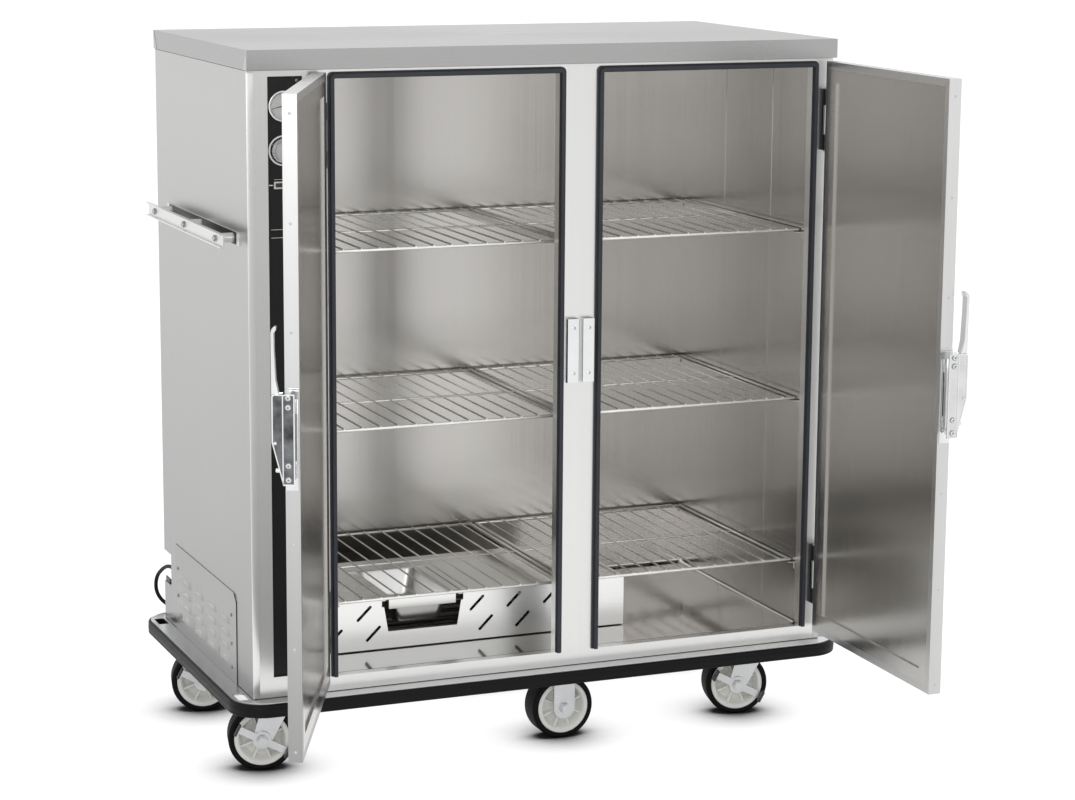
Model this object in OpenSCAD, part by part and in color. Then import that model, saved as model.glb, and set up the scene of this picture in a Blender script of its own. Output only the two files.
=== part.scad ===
// Heated banquet cabinet on six casters, shown with both doors open.
// Millimetres. X runs along the front, Y from front to back, Z up from the floor.
// The origin is on the floor under the middle of the cabinet's body.

/* [Cabinet body] */
// Width of the body over its side panels
body_w = 1196; // [1160:2:1260]
// Depth of the body from the face frame to the back panel
body_d = 630; // [600:2:680]
// Height of the body from the base plate to the top cap
body_h = 1213; // [1160:1:1280]
// Height of the base plate's top face above the floor
base_z = 146; // [144:1:160]
// Thickness of the outer steel skins
skin_t = 1.5; // [1:0.1:2.5]
// Distance from the liner to the outer face of the back panel
back_wall = 60; // [45:1:75]

/* [Top cap] */
// Height of the cap's folded flange
cap_flange = 37; // [25:1:45]
// Overhang of the cap at the front
cap_front = 12; // [6:1:14]
// Overhang of the cap at the sides and the back
cap_side = 2; // [1:0.5:6]

/* [Face frame] */
// Width of the frame to the right of the right doorway
post_w = 33; // [30:1:45]
// Width of the post between the doorways
mullion_w = 65; // [60:1:90]
// Width of each doorway over its gasket
doorway_w = 472; // [450:1:480]
// Height of the sill under the doorways
sill_h = 30; // [26:1:40]
// Height of the header over the doorways
header_h = 41; // [38:1:60]
// Sheet thickness of the face frame
frame_t = 2; // [1.5:0.1:3]
// Depth of the frame's folded returns
frame_depth = 20; // [16:1:30]

/* [Gaskets] */
// Width of the gasket strip
gasket_w = 12; // [10:0.5:16]
// Thickness of the gasket bulb
gasket_t = 10; // [7:0.5:13]
// Thickness of the gasket's mounting lip
gasket_lip_t = 4; // [2:0.5:6]

/* [Doors] */
// Thickness of a door
door_t = 25; // [20:1:40]
// How far a door reaches past the doorway on the hinge side
door_lap = 4.5; // [3:0.5:8]
// How far a door reaches over the post between the doorways
door_free_lap = 1.5; // [1:0.5:2.5]
// How far a door hangs below the doorway
door_drop = 5; // [3:1:8]
// How far a door reaches above the doorway
door_rise = 1; // [0.5:0.5:3]
// Angle that the left door stands open
left_open = 114; // [0:1:120]
// Angle that the right door stands open
right_open = 89; // [0:1:120]

/* [Hinges] */
// Height of a hinge
hinge_h = 119; // [100:1:140]
// Radius of the hinge barrel
barrel_r = 5.5; // [5:0.1:6.5]
// Radius of the hinge pin
pin_r = 3; // [2.5:0.1:3.5]
// Height of the barrel's middle section, which belongs to the door
knuckle_h = 57; // [45:1:65]
// Distance from a door's top or bottom edge to the middle of its hinge
hinge_inset = 115; // [90:1:140]
// Thickness of the hinge leaves
leaf_t = 3; // [2.5:0.1:3.5]

/* [Latches] */
// Height of a latch housing
latch_h = 156; // [140:1:180]
// Height of the latch's middle above the floor
latch_z = 742; // [650:1:850]
// How far a latch housing reaches past the door's free edge
latch_reach = 24; // [20:1:26]
// How far a latch housing stands out from the door's outer face
latch_out = 20; // [17:0.5:24]
// How far a latch's face plate covers the door's thickness
latch_in = 19; // [16:1:19]
// Length of the lever from its pivot to its tip
lever_len = 131; // [100:1:150]
// Width of the lever
lever_w = 17; // [12:1:18]
// Height of a strike
strike_h = 124; // [100:1:140]
// Width of a strike
strike_w = 25; // [20:1:26]
// Depth of a strike
strike_d = 12.5; // [8:0.5:14]

/* [Control panel] */
// Width of the control panel's window in the face frame
panel_w = 66; // [64:1:72]
// Distance from the body's left edge to the window
panel_in = 40; // [30:1:45]
// Distance from the panel's window to the body's underside and the header's underside
panel_end = 40; // [35:1:60]
// Depth of the control panel behind the frame's front face
panel_recess = 5; // [3:1:8]
// Radius of the thermometer's bezel
gauge_r = 28.5; // [24:0.5:30]
// Distance from the body's top to the thermometer's middle
gauge_down = 101; // [90:1:120]
// Distance from the thermometer's middle to the thermostat knob's middle
knob_down = 81; // [70:1:100]
// Radius of the thermostat knob
knob_r = 19; // [15:0.5:22]
// Height of the thermostat knob
knob_h = 18; // [14:0.5:24]
// Distance from the thermostat knob's middle to the power switch
switch_down = 63; // [50:1:90]

/* [Shelves] */
// Heights of the three shelves' front rails above the body's underside
shelf_z = [161, 495, 836];
// Radius of a shelf's rails
rail_r = 3; // [2.5:0.1:3.5]
// Radius of a shelf's cross wires
wire_r = 1.75; // [1.2:0.05:2.5]
// Number of cross wires on a shelf
wire_count = 13; // [9:1:14]
// Gap between the face frame's front and the shelf's front rail
shelf_front_in = 38; // [32:1:60]

/* [Heater] */
// Length of the heater cover from the liner's left wall
cover_len = 656; // [600:1:680]
// Depth of the heater cover
cover_depth = 300; // [280:1:340]
// Height of the heater cover's top above the cabinet floor
cover_top = 103; // [98:1:108]
// Gap between the cabinet floor and the heater cover's lower edge
cover_gap = 2.5; // [2.5:0.5:6]
// Distance from the face frame's front to the heater cover
cover_front_in = 137; // [120:1:150]
// Distance from the liner's left wall to the middle of the pan's cut-out
pan_in = 223; // [200:1:250]
// Width of the pan's cut-out at the top
cutout_top = 170.5; // [160:0.5:180]
// Width of the pan's cut-out at the bottom
cutout_bottom = 144.5; // [136:0.5:150]
// Height of the pan's cut-out
cutout_h = 67; // [63:1:70]
// Length of the water pan
pan_len = 240; // [200:1:260]
// Depth of the water pan
pan_depth = 56; // [50:1:58]
// Pitch of the slots in the heater cover
slot_pitch = 78.7; // [70:0.1:90]
// Length of a slot in the heater cover
slot_len = 41; // [34:1:44]

/* [Push handles] */
// Height of a push handle's middle above the floor
handle_z = 1011; // [900:1:1100]
// Length of a handle bar
handle_len = 527; // [460:1:560]
// Height of a handle bar
handle_h = 26; // [22:1:32]
// Depth of a handle bar
handle_t = 8; // [7:0.5:12]
// Distance from the side panel to the handle bar's outer face
handle_out = 42; // [38:1:60]
// Distance from one handle fixing to the next
handle_pitch = 214; // [190:1:225]

/* [Base and bumper] */
// How far the base plate reaches past the body
rail_out = 36; // [34:1:40]
// Height of the rail's outer web
rail_h = 26; // [22:1:28]
// Thickness of the base plate
base_t = 3; // [2.5:0.1:4]
// Corner radius of the base plate
rail_corner = 62; // [50:1:80]
// Thickness of the bumper outside the rail
bumper_t = 6; // [5:0.5:9]

/* [Casters] */
// Diameter of a wheel
wheel_d = 127; // [125:1:128]
// Width of a wheel
wheel_w = 50; // [44:1:52]
// Thickness of a wheel's tread
tyre_t = 8; // [6:0.5:12]
// Distance from a swivel axis to its wheel's axle
trail = 30; // [24:1:30]
// Radius of an axle
axle_r = 6; // [5:0.25:7]
// Angle that the swivel casters are turned at rest
caster_turn = 13; // [-20:1:20]
// Distance from the body's left side to the left swivel axes
caster_left_in = 55; // [50:1:80]
// Distance from the body's right side to the right swivel axes
caster_right_in = 140; // [100:1:160]
// Distance from the body's front to the front swivel axes
caster_front_in = 33; // [33:1:60]
// Distance from the body's back to the rear swivel axes
caster_rear_in = 193; // [150:1:210]
// Distance from the body's middle to the rigid casters, along X
rigid_x = 33; // [0:1:60]
// Distance from the body's front to the front rigid caster's axle
rigid_front_in = 21; // [21:1:40]

/* [Hidden] */
$fn = 48;

// Clearances
seat_gap = 0.3;
run_gap = 0.05;
cut = 1;

// Body planes
half_w = body_w / 2;
half_d = body_d / 2;
front_y = -half_d;
body_top = base_z + body_h;
doorway_z0 = base_z + sill_h;
doorway_z1 = body_top - header_h;
right_edge = half_w - post_w;
mid_x = right_edge - doorway_w - mullion_w / 2;
frame_back = front_y + frame_depth;

// Distances from the middle of the post between the doorways
u_in = mullion_w / 2;
u_out = u_in + doorway_w;
clear_in = u_in + gasket_w;
clear_out = u_out - gasket_w;
clear_z1 = doorway_z1 - gasket_w;

// Liner
liner_x0 = mid_x - clear_out;
liner_x1 = mid_x + clear_out;
liner_back = half_d - back_wall;
floor_z = doorway_z0;

// Doors and hinges
door_in_y = front_y - gasket_t - seat_gap;
door_out_y = door_in_y - door_t;
door_u0 = u_in - door_free_lap;
door_u1 = u_out + door_lap;
door_z0 = doorway_z0 - door_drop;
door_z1 = doorway_z1 + door_rise;
hinge_air = 2;
pivot_u = door_u1 + hinge_air + barrel_r;
pivot_y = door_in_y - barrel_r + seat_gap;
hinge_zs = [door_z0 + hinge_inset, door_z1 - hinge_inset];
edge_fold = 14;

// Latches
latch_z0 = latch_z - latch_h / 2;
latch_z1 = latch_z + latch_h / 2;
latch_u0 = door_u0 - latch_reach;
latch_taper = 74;
latch_wall = 2.5;
latch_flange_t = 2;
strike_up = 33;
lever_pin_r = 3;
lever_pivot_y = door_out_y - latch_out + 8;
lever_pivot_z = latch_z1 - 15;
lever_u0 = latch_u0 + latch_wall + 1;

// Control panel
panel_x0 = -half_w + panel_in;
panel_x1 = panel_x0 + panel_w;
panel_z0 = base_z + panel_end;
panel_z1 = doorway_z1 + door_rise - 7;
panel_y = front_y + panel_recess;
gauge_x = panel_x0 + 30;
gauge_z = body_top - gauge_down;
knob_z = gauge_z - knob_down;
switch_z = knob_z - switch_down;
switch_w = 20;
switch_h = 13;
gauge_depth = 8;
dial_t = 0.6;
lens_t = 1;
needle_angle = 193;

// Shelves
shelf_back_in = 14;
shelf_side_gap = 8;
shelf_y0 = front_y + shelf_front_in;
shelf_y1 = liner_back - shelf_back_in;
centre_rail_w = 24;
ledge_w = 14;
ledge_t = 1.5;

// Heater
cover_x0 = liner_x0 + seat_gap;
cover_x1 = liner_x0 + cover_len;
cover_y0 = front_y + cover_front_in;
cover_y1 = cover_y0 + cover_depth;
cover_z1 = floor_z + cover_top;
cover_z0 = floor_z + cover_gap;
pan_x = liner_x0 + pan_in;
ear_h = 17;
ear_w = 4.5;
pan_rim_t = 2;
pan_z1 = cover_z1 - skin_t - seat_gap;
pan_ledge_t = 1.5;
pan_ledge_z = pan_z1 - pan_rim_t - seat_gap;
pan_wall = 1.2;
pan_lip_w = 140;
pan_lip_h = 21;
foot_r = 8;
foot_t = 3;
slot_w = 6;
slot_tilt = 44;
slot_row_z = 32;
slot_row_pitch = 42;
slot_first = 41;
slot_shift = 19;
slot_end_in = 75;

// Service panel on the left side
service_y0 = front_y + 105;
service_y1 = half_d - 92;
service_h = 179;
service_z1 = base_z + service_h;
louvre_rows = 4;
louvre_columns = 4;
louvre_pitch_z = 25.5;
louvre_pitch_y = 91;
louvre_len = 60;
louvre_h = 20;
louvre_out = 4;
louvre_z0 = base_z + 32;
louvre_y_mid = (service_y0 + service_y1) / 2;
louvre_half_y = (louvre_columns - 1) / 2 * louvre_pitch_y + louvre_len / 2;
louvre_z1 = louvre_z0 + (louvre_rows - 1) * louvre_pitch_z + louvre_h;
louvre_margin = 4;
screw_ys = [service_y0 + 32, service_y1 - 17];
screw_zs = [base_z + 27, base_z + 74, base_z + 131];
screw_r = 3.5;
screw_head = 2;

// Push handles
handle_y = -15;
handle_wall = 2.5;
post_r = 9;
wall_plate_l = 2 * handle_pitch + 72;
wall_plate_h = 24;
wall_plate_t = 2;

// Cord recess at the rear left
recess_w = 130;
recess_d = 52;
recess_z0 = base_z + 80;
recess_z1 = base_z + 146;

// Base
rail_x = half_w + rail_out;
rail_y = half_d + rail_out;
rail_web = 2.5;
lip_h = 1.5;
base_bottom = base_z - base_t;
web_bottom = base_z - rail_h;
frame_bottom = max(web_bottom, wheel_d + 1.5);
corner_hole_in = 6;
corner_hole_w = 20.5;
corner_hole_len = 44;
rib_off = 72;

// Casters
wheel_r = wheel_d / 2;
leg_gap = 3.3;
leg_t = 3;
leg_in = wheel_w / 2 + leg_gap;
leg_out = leg_in + leg_t;
plate_t = 4;
plate_bottom = base_bottom - plate_t;
crown_z = wheel_r * 2 + 3;
crown_t = 4;
tyre_round = 6;
hub_w = wheel_w + 5;
hub_r = 16;
hub_ribs = 8;
rib_t = 5;
rim_t = 7;
mount_x = 96;
mount_y = 86;
bolt_x = 38;
bolt_y = 32;
bolt_r = 4.5;
king_r = 7;
crown_r = 29;
fork_half = 28;
swivel_end_r = 18;
rigid_half = 22;
nut_r = 10.5;
brake_t = 3;
brake_y = -leg_out - seat_gap;
brake_tilt = -27;
rear_y = half_d - caster_rear_in;
swivel_front_y = front_y + caster_front_in;
swivel_xy = [
  [-half_w + caster_left_in, swivel_front_y],
  [half_w - caster_right_in, swivel_front_y],
  [-half_w + caster_left_in, rear_y],
  [half_w - caster_right_in, rear_y]
];
rigid_ys = [front_y + rigid_front_in, rear_y];

// Cord: its route is a list of hand-chosen points, from the strain relief to the coil
cord_r = 4;
cord_sides = 10;
cord_step = 17;
relief_len = 30;
gland_x = -585;
gland_z = 254;
gland_flange = 5;
recess_y = half_d - recess_d;
cord_y0 = recess_y + gland_flange + relief_len;
coil_x = -330;
coil_y = 459;
coil_turns = 6;
coil_mid_r = 46;
coil_pitch = 8.6;
coil_ring = 24;
coil_layer = 8.6;
coil_tail = 24;
cord_route = [
  [-585, 314, 253], [-587, 340, 248], [-590, 366, 236], [-594, 387.5, 219],
  [-596, 396.5, 200], [-594, 398, 181], [-586.5, 393, 165], [-573.5, 384, 153.5],
  [-555, 376, 146], [-537, 371, 137], [-521, 369, 124], [-509, 370, 107],
  [-500, 371, 88], [-495, 373, 66], [-488, 376, 45], [-477, 380, 27],
  [-461, 386, 13], [-440, 392, 6], [-415, 397, 4.5], [-385, 400, 4.1]
];
coil_z0 = 4.1;

// Shapes shared by the modules

function unit(v) = v / norm(v);

// Point where a line from p touches the circle of radius r about c, on side s
function tangent_point(p, c, r, s) =
  let (b = atan2(p[1] - c[1], p[0] - c[0]), a = acos(r / norm(p - c)))
  c + r * [cos(b + s * a), sin(b + s * a)];

// Catmull-Rom curve through the points p
function spline_point(p, i, t) =
  let (
    n = len(p) - 1,
    a = p[max(i - 1, 0)], b = p[i], c = p[min(i + 1, n)], d = p[min(i + 2, n)]
  )
  0.5 * (2 * b + (c - a) * t + (2 * a - 5 * b + 4 * c - d) * t * t
    + (3 * b - a - 3 * c + d) * t * t * t);

function spline(p, per) =
  [for (i = [0:len(p) - 2]) for (k = [0:per - 1]) spline_point(p, i, k / per), p[len(p) - 1]];

function sum(v, i = 0) = i < len(v) ? v[i] + sum(v, i + 1) : 0;

function path_length(p) = sum([for (i = [1:len(p) - 1]) norm(p[i] - p[i - 1])]);

// Least distance between points of a path that are at least n points apart
function least_gap(p, n) =
  min([for (i = [0:len(p) - 1 - n]) min([for (k = [i + n:len(p) - 1]) norm(p[i] - p[k])])]);

function path_tangent(p, i) = unit(p[min(i + 1, len(p) - 1)] - p[max(i - 1, 0)]);

// Side vectors carried along the path with as little twist as possible
function carried(p, i, v) = let (t = path_tangent(p, i)) unit(v - (v * t) * t);

function side_vectors(p, start) =
  [for (i = 0, v = carried(p, 0, start); i < len(p); i = i + 1,
    v = i < len(p) ? carried(p, i, v) : v) v];

// Tube of radius r along the path p with the given number of sides
module tube(p, r, sides, start) {
  v = side_vectors(p, start);
  points = [for (i = [0:len(p) - 1]) let (t = path_tangent(p, i), w = cross(t, v[i]))
    for (k = [0:sides - 1]) p[i] + r * (cos(360 * k / sides) * v[i] + sin(360 * k / sides) * w)];
  last = (len(p) - 1) * sides;
  walls = [for (i = [0:len(p) - 2]) for (k = [0:sides - 1])
    let (a = i * sides + k, b = i * sides + (k + 1) % sides)
    each [[a, a + sides, b], [b, a + sides, b + sides]]];
  ends = [for (k = [1:sides - 2]) each [[0, k, k + 1], [last, last + k + 1, last + k]]];
  polyhedron(points = points, faces = concat(walls, ends));
}

// Rectangle with round corners, centred on the origin
module rounded_rect(w, d, r) {
  square([w - 2 * r, d], center = true);
  square([w, d - 2 * r], center = true);
  for (sx = [-1, 1], sy = [-1, 1])
    translate([sx * (w / 2 - r), sy * (d / 2 - r)]) circle(r);
}

// Box from one corner to the opposite one
module span(a, b) {
  translate(a) cube(b - a);
}

// Sweeps a profile round a rounded rectangle; profile x is measured from the corner's outline
module ring_sweep(half_x, half_y, r) {
  for (k = [0:3]) {
    along = k % 2 == 0 ? half_y - r : half_x - r;
    out = k % 2 == 0 ? half_x : half_y;
    other = k % 2 == 0 ? half_y : half_x;
    rotate([0, 0, 90 * k]) {
      translate([out, along, 0]) rotate([90, 0, 0]) linear_extrude(2 * along) children();
      translate([out - r, other - r, 0])
        rotate_extrude(angle = 90) translate([r, 0]) children();
    }
  }
}

// Turns what is drawn for the right doorway into its place, s = 1 right or -1 left
module at_doorway(s) {
  translate([mid_x, 0, 0]) on_side(s) children();
}

module on_side(s) {
  if (s > 0) children();
  else mirror([1, 0, 0]) children();
}

// Turns what is drawn on the closed right door into its open place
module on_door(s) {
  at_doorway(s)
    translate([pivot_u, pivot_y, 0])
      rotate([0, 0, s > 0 ? right_open : left_open])
        translate([-pivot_u, -pivot_y, 0]) children();
}

// Cylinder along Y from y0 to y1
module rod_y(x, z, r, y0, y1) {
  translate([x, y1, z]) rotate([90, 0, 0]) cylinder(h = y1 - y0, r = r);
}

// Cylinder along X from x0 to x1
module rod_x(y, z, r, x0, x1) {
  translate([x0, y, z]) rotate([0, 90, 0]) cylinder(h = x1 - x0, r = r);
}

// Base

module base_frame() {
  color("silver") {
    difference() {
      translate([0, 0, base_bottom])
        linear_extrude(base_t)
          rounded_rect(2 * rail_x - rail_web, 2 * rail_y - rail_web, rail_corner - rail_web / 2);
      for (s = [-1, 1]) {
        on_side(s) corner_opening();
        mirror([0, 1, 0]) on_side(s) corner_opening();
      }
    }
    ring_sweep(rail_x, rail_y, rail_corner)
      translate([-rail_web, frame_bottom]) square([rail_web, base_z + lip_h - frame_bottom]);
    for (y = [swivel_front_y + rib_off, rear_y - rib_off])
      span([-half_w + 20, y, frame_bottom], [half_w - 20, y + base_t, base_bottom]);
  }
}

// Slot in the base plate beside a corner of the body
module corner_opening() {
  translate([half_w + corner_hole_in + corner_hole_w / 2,
    half_d - corner_hole_in - corner_hole_len / 2, base_bottom - cut])
    linear_extrude(base_t + 2 * cut) rounded_rect(corner_hole_w, corner_hole_len, 4);
}

module bumper() {
  color("#1b1b1c")
    ring_sweep(rail_x, rail_y, rail_corner) bumper_profile();
}

module bumper_profile() {
  h = rail_h - 0.5;
  r = 2.5;
  translate([0, web_bottom]) {
    translate([seat_gap, 0]) square([bumper_t - r - seat_gap, h]);
    translate([seat_gap, r]) square([bumper_t - seat_gap, h - 2 * r]);
    for (z = [r, h - r]) translate([bumper_t - r, z]) circle(r);
  }
}

// Outer skins

module left_side_panel() {
  color("#c9cacb")
    difference() {
      span([-half_w, front_y + frame_t, base_z], [-half_w + skin_t, half_d, body_top]);
      span([-half_w - cut, recess_y, recess_z0], [-half_w + skin_t + cut, half_d + cut, recess_z1]);
      span([-half_w - cut, louvre_y_mid - louvre_half_y - louvre_margin, louvre_z0 - louvre_margin],
        [-half_w + skin_t + cut, louvre_y_mid + louvre_half_y + louvre_margin, louvre_z1 + louvre_margin]);
    }
}

module right_side_panel() {
  color("#c9cacb")
    span([half_w - skin_t, front_y + frame_t, base_z], [half_w, half_d, body_top]);
}

module back_panel() {
  tray_x0 = -half_w + skin_t;
  tray_x1 = -half_w + recess_w;
  color("#c4c5c6") {
    difference() {
      span([-half_w + skin_t, half_d - skin_t, base_z], [half_w - skin_t, half_d, body_top]);
      span([tray_x0 - cut, half_d - skin_t - cut, recess_z0], [tray_x1, half_d + cut, recess_z1]);
    }
    difference() {
      span([tray_x0, recess_y - skin_t, recess_z0 - skin_t],
        [tray_x1 + skin_t, half_d - skin_t, recess_z1 + skin_t]);
      span([tray_x0 - cut, recess_y, recess_z0], [tray_x1, half_d + cut, recess_z1]);
      rod_y(gland_x, gland_z, 9 + run_gap, recess_y - skin_t - cut, recess_y + cut);
    }
  }
}

module top_cap() {
  z0 = body_top + 2 - cap_flange;
  color("#cfd0d0")
    difference() {
      span([-half_w - cap_side, front_y - cap_front, z0],
        [half_w + cap_side, half_d + cap_side, body_top + 2]);
      span([-half_w - cap_side + skin_t, front_y - cap_front + skin_t, z0 - cut],
        [half_w + cap_side - skin_t, half_d + cap_side - skin_t, body_top + 2 - skin_t]);
    }
}

// Face frame with its folded returns

module doorway_outline() {
  translate([clear_in, doorway_z0]) square([clear_out - clear_in, clear_z1 - doorway_z0]);
}

module face_frame() {
  color("#d2d3d3")
    difference() {
      span([-half_w, front_y, base_z], [half_w, frame_back, body_top]);
      difference() {
        span([-half_w + skin_t + frame_t, front_y + frame_t, base_z + frame_t],
          [half_w - skin_t - frame_t, frame_back + cut, body_top - frame_t]);
        for (s = [-1, 1]) at_doorway(s)
          span([clear_in - frame_t, front_y, doorway_z0 - frame_t],
            [clear_out + frame_t, frame_back + cut, clear_z1 + frame_t]);
        span([panel_x0 - frame_t, front_y, panel_z0 - frame_t],
          [panel_x1 + frame_t, panel_y, panel_z1 + frame_t]);
      }
      for (x = [-half_w - cut, half_w - skin_t])
        span([x, front_y + frame_t, base_z - cut], [x + skin_t + cut, frame_back + cut, body_top + cut]);
      for (s = [-1, 1]) at_doorway(s)
        span([clear_in, front_y - cut, doorway_z0], [clear_out, frame_back + 2 * cut, clear_z1]);
      span([panel_x0, front_y - cut, panel_z0], [panel_x1, panel_y + cut, panel_z1]);
    }
}

module interior_liner() {
  color("#bfc0c0")
    difference() {
      span([liner_x0 - skin_t, frame_back, floor_z - skin_t],
        [liner_x1 + skin_t, liner_back + skin_t, clear_z1 + skin_t]);
      span([liner_x0, frame_back - cut, floor_z], [liner_x1, liner_back, clear_z1]);
    }
}

module service_panel() {
  x0 = -half_w - skin_t;
  color("#c2c3c4") {
    difference() {
      union() {
        translate([-half_w, 0, 0]) rotate([0, -90, 0]) linear_extrude(skin_t)
          service_outline();
        for (i = [0:louvre_columns - 1], k = [0:louvre_rows - 1])
          translate([x0, louvre_y_mid + (i - (louvre_columns - 1) / 2) * louvre_pitch_y,
            louvre_z0 + k * louvre_pitch_z]) louvre_hood();
      }
      for (i = [0:louvre_columns - 1], k = [0:louvre_rows - 1])
        translate([x0, louvre_y_mid + (i - (louvre_columns - 1) / 2) * louvre_pitch_y,
          louvre_z0 + k * louvre_pitch_z]) louvre_slot();
    }
  }
}

// Outline of the service panel in Z and Y, with one rounded upper corner at the front
module service_outline() {
  r = 16;
  translate([base_z + seat_gap, service_y0 + r])
    square([service_h - seat_gap, service_y1 - service_y0 - r]);
  translate([base_z + seat_gap, service_y0]) square([service_h - seat_gap - r, r + cut]);
  translate([service_z1 - r, service_y0 + r]) circle(r);
}

// Pressed hood that stands out of the sheet, open along its lower edge
module louvre_hood() {
  translate([0, louvre_len / 2, 0]) rotate([90, 0, 0])
    linear_extrude(louvre_len)
      polygon([[0, 0], [-louvre_out, 0], [-louvre_out, 1.5], [0, louvre_h]]);
}

module louvre_slot() {
  wall = 1;
  translate([0, louvre_len / 2 - wall, 0]) rotate([90, 0, 0])
    linear_extrude(louvre_len - 2 * wall)
      polygon([[skin_t + cut, -0.01], [-louvre_out + wall, -0.01], [-louvre_out + wall, 1],
        [0, louvre_h - 3], [skin_t + cut, louvre_h - 3]]);
}

// Screws on the service panel, the control panel and the push handles
module panel_screws() {
  color("#9fa1a3") {
    for (y = screw_ys, z = screw_zs)
      rod_x(y, z, screw_r, -half_w - skin_t - screw_head, -half_w - skin_t);
    for (z = [panel_z0 + 8, panel_z1 - 8])
      rod_y(panel_x1 - 9, z, screw_r - 0.5, panel_y - screw_head, panel_y);
    for (s = [-1, 1], k = [-1:1])
      on_side(s) rod_x(handle_y + k * handle_pitch, handle_z, 5,
        half_w + handle_out - handle_t + handle_wall, half_w + handle_out - 1);
  }
}

// Push handles: a lipped channel on three posts, with a plate on the side panel

module push_handles() {
  color("#c6c7c8")
    for (s = [-1, 1]) on_side(s) translate([half_w, handle_y, handle_z]) {
      span([0, -wall_plate_l / 2, -wall_plate_h / 2], [wall_plate_t, wall_plate_l / 2, wall_plate_h / 2]);
      for (k = [-1:1]) rod_x(k * handle_pitch, 0, post_r, wall_plate_t, handle_out - handle_t);
      translate([handle_out - handle_t, handle_len / 2, 0]) rotate([90, 0, 0])
        linear_extrude(handle_len) handle_profile();
    }
}

// Section of the handle channel: web towards the cabinet, lips outwards
module handle_profile() {
  difference() {
    translate([0, -handle_h / 2]) square([handle_t, handle_h]);
    translate([handle_wall, -handle_h / 2 + handle_wall])
      square([handle_t, handle_h - 2 * handle_wall]);
  }
}

// Gaskets and strikes

module door_gaskets() {
  bulb = gasket_w * 0.6;
  color("#4a4b4e")
    for (s = [-1, 1]) at_doorway(s) {
      gasket_band(gasket_w, gasket_lip_t, 0);
      gasket_band(bulb, gasket_t, 1.5);
    }
}

// Strip round three sides of a doorway, set back from its inner edge
module gasket_band(w, t, set_back) {
  r = 10;
  u0 = clear_in - set_back;
  u1 = clear_out + set_back;
  z1 = clear_z1 + set_back;
  translate([0, front_y, 0]) rotate([90, 0, 0]) linear_extrude(t)
    difference() {
      intersection() {
        translate([(u0 + u1) / 2, (floor_z + z1) / 2])
          rounded_rect(u1 - u0 + 2 * w, z1 - floor_z + 2 * w, r);
        translate([u0 - w, floor_z]) square([u1 - u0 + 2 * w, z1 - floor_z + w]);
      }
      translate([u0, floor_z - cut]) square([u1 - u0, z1 - floor_z + cut]);
    }
}

// Strikes: channels that stand proud of the post, open above and below
module strike_plates() {
  u1 = door_u0 - latch_flange_t - 2 * seat_gap;
  u0 = u1 - strike_w;
  z0 = latch_z + strike_up - strike_h / 2;
  wall = 2.5;
  color("#dcdddd")
    for (s = [-1, 1]) at_doorway(s) difference() {
      span([u0, front_y - strike_d, z0], [u1, front_y, z0 + strike_h]);
      span([u0 + wall, front_y - strike_d + wall, z0 - cut], [u1 - wall, front_y - wall, z0 + strike_h + cut]);
      for (dz = [18, strike_h - 18])
        rod_y((u0 + u1) / 2, z0 + dz, 2.6, front_y - strike_d - cut, front_y - strike_d + wall + cut);
    }
}

// Hinges

module hinge_frame_leaves() {
  u0 = pivot_u - barrel_r - 0.5;
  color("#3a3b3d")
    for (s = [-1, 1], z = hinge_zs) at_doorway(s) translate([0, 0, z]) difference() {
      union() {
        span([u0, front_y - leaf_t, -hinge_h / 2], [u0 + 20, front_y, hinge_h / 2]);
        span([u0, pivot_y + barrel_r + 0.6, -hinge_h / 2], [u0 + leaf_t, front_y, hinge_h / 2]);
        for (dz = [-1, 1]) frame_knuckle(dz, u0);
      }
      translate([pivot_u, pivot_y, -hinge_h]) cylinder(h = 2 * hinge_h, r = pin_r + run_gap);
    }
}

module frame_knuckle(side, u0) {
  h = (hinge_h - knuckle_h) / 2 - seat_gap;
  z0 = side > 0 ? knuckle_h / 2 + seat_gap : -hinge_h / 2;
  translate([pivot_u, pivot_y, z0]) cylinder(h = h, r = barrel_r);
  span([u0, pivot_y, z0], [u0 + leaf_t, front_y, z0 + h]);
}

module hinge_pins() {
  color("#e4e5e6")
    for (s = [-1, 1], z = hinge_zs) at_doorway(s) translate([pivot_u, pivot_y, z]) {
      translate([0, 0, -hinge_h / 2]) cylinder(h = hinge_h, r = pin_r);
      for (dz = [-hinge_h / 2 - 2.5, hinge_h / 2]) translate([0, 0, dz]) cylinder(h = 2.5, r = barrel_r - 1);
    }
}

// Leaf on the door's outer face, with the barrel's middle section
module door_leaf(z) {
  u1 = pivot_u - 0.4;
  translate([0, 0, z]) difference() {
    union() {
      span([door_u1 - 40, door_out_y - leaf_t, -hinge_h / 2], [u1, door_out_y, hinge_h / 2]);
      span([u1 - leaf_t, door_out_y, -hinge_h / 2], [u1, pivot_y - barrel_r - 0.8, hinge_h / 2]);
      span([u1 - leaf_t, door_out_y, -knuckle_h / 2], [u1, pivot_y, knuckle_h / 2]);
      translate([pivot_u, pivot_y, -knuckle_h / 2]) cylinder(h = knuckle_h, r = barrel_r);
    }
    translate([pivot_u, pivot_y, -hinge_h]) cylinder(h = 2 * hinge_h, r = pin_r + run_gap);
  }
}

// Doors: an outer pan with folded edges, closed on the inside by a liner

module door_shell() {
  difference() {
    span([door_u0, door_out_y, door_z0], [door_u1, door_in_y, door_z1]);
    span([door_u0 + skin_t, door_out_y + skin_t, door_z0 + skin_t],
      [door_u1 - skin_t, door_in_y - skin_t, door_z1 - skin_t]);
    span([door_u0 + edge_fold, door_in_y - skin_t - cut, door_z0 + edge_fold],
      [door_u1 - edge_fold, door_in_y + cut, door_z1 - edge_fold]);
  }
  for (z = hinge_zs) door_leaf(z);
}

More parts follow.
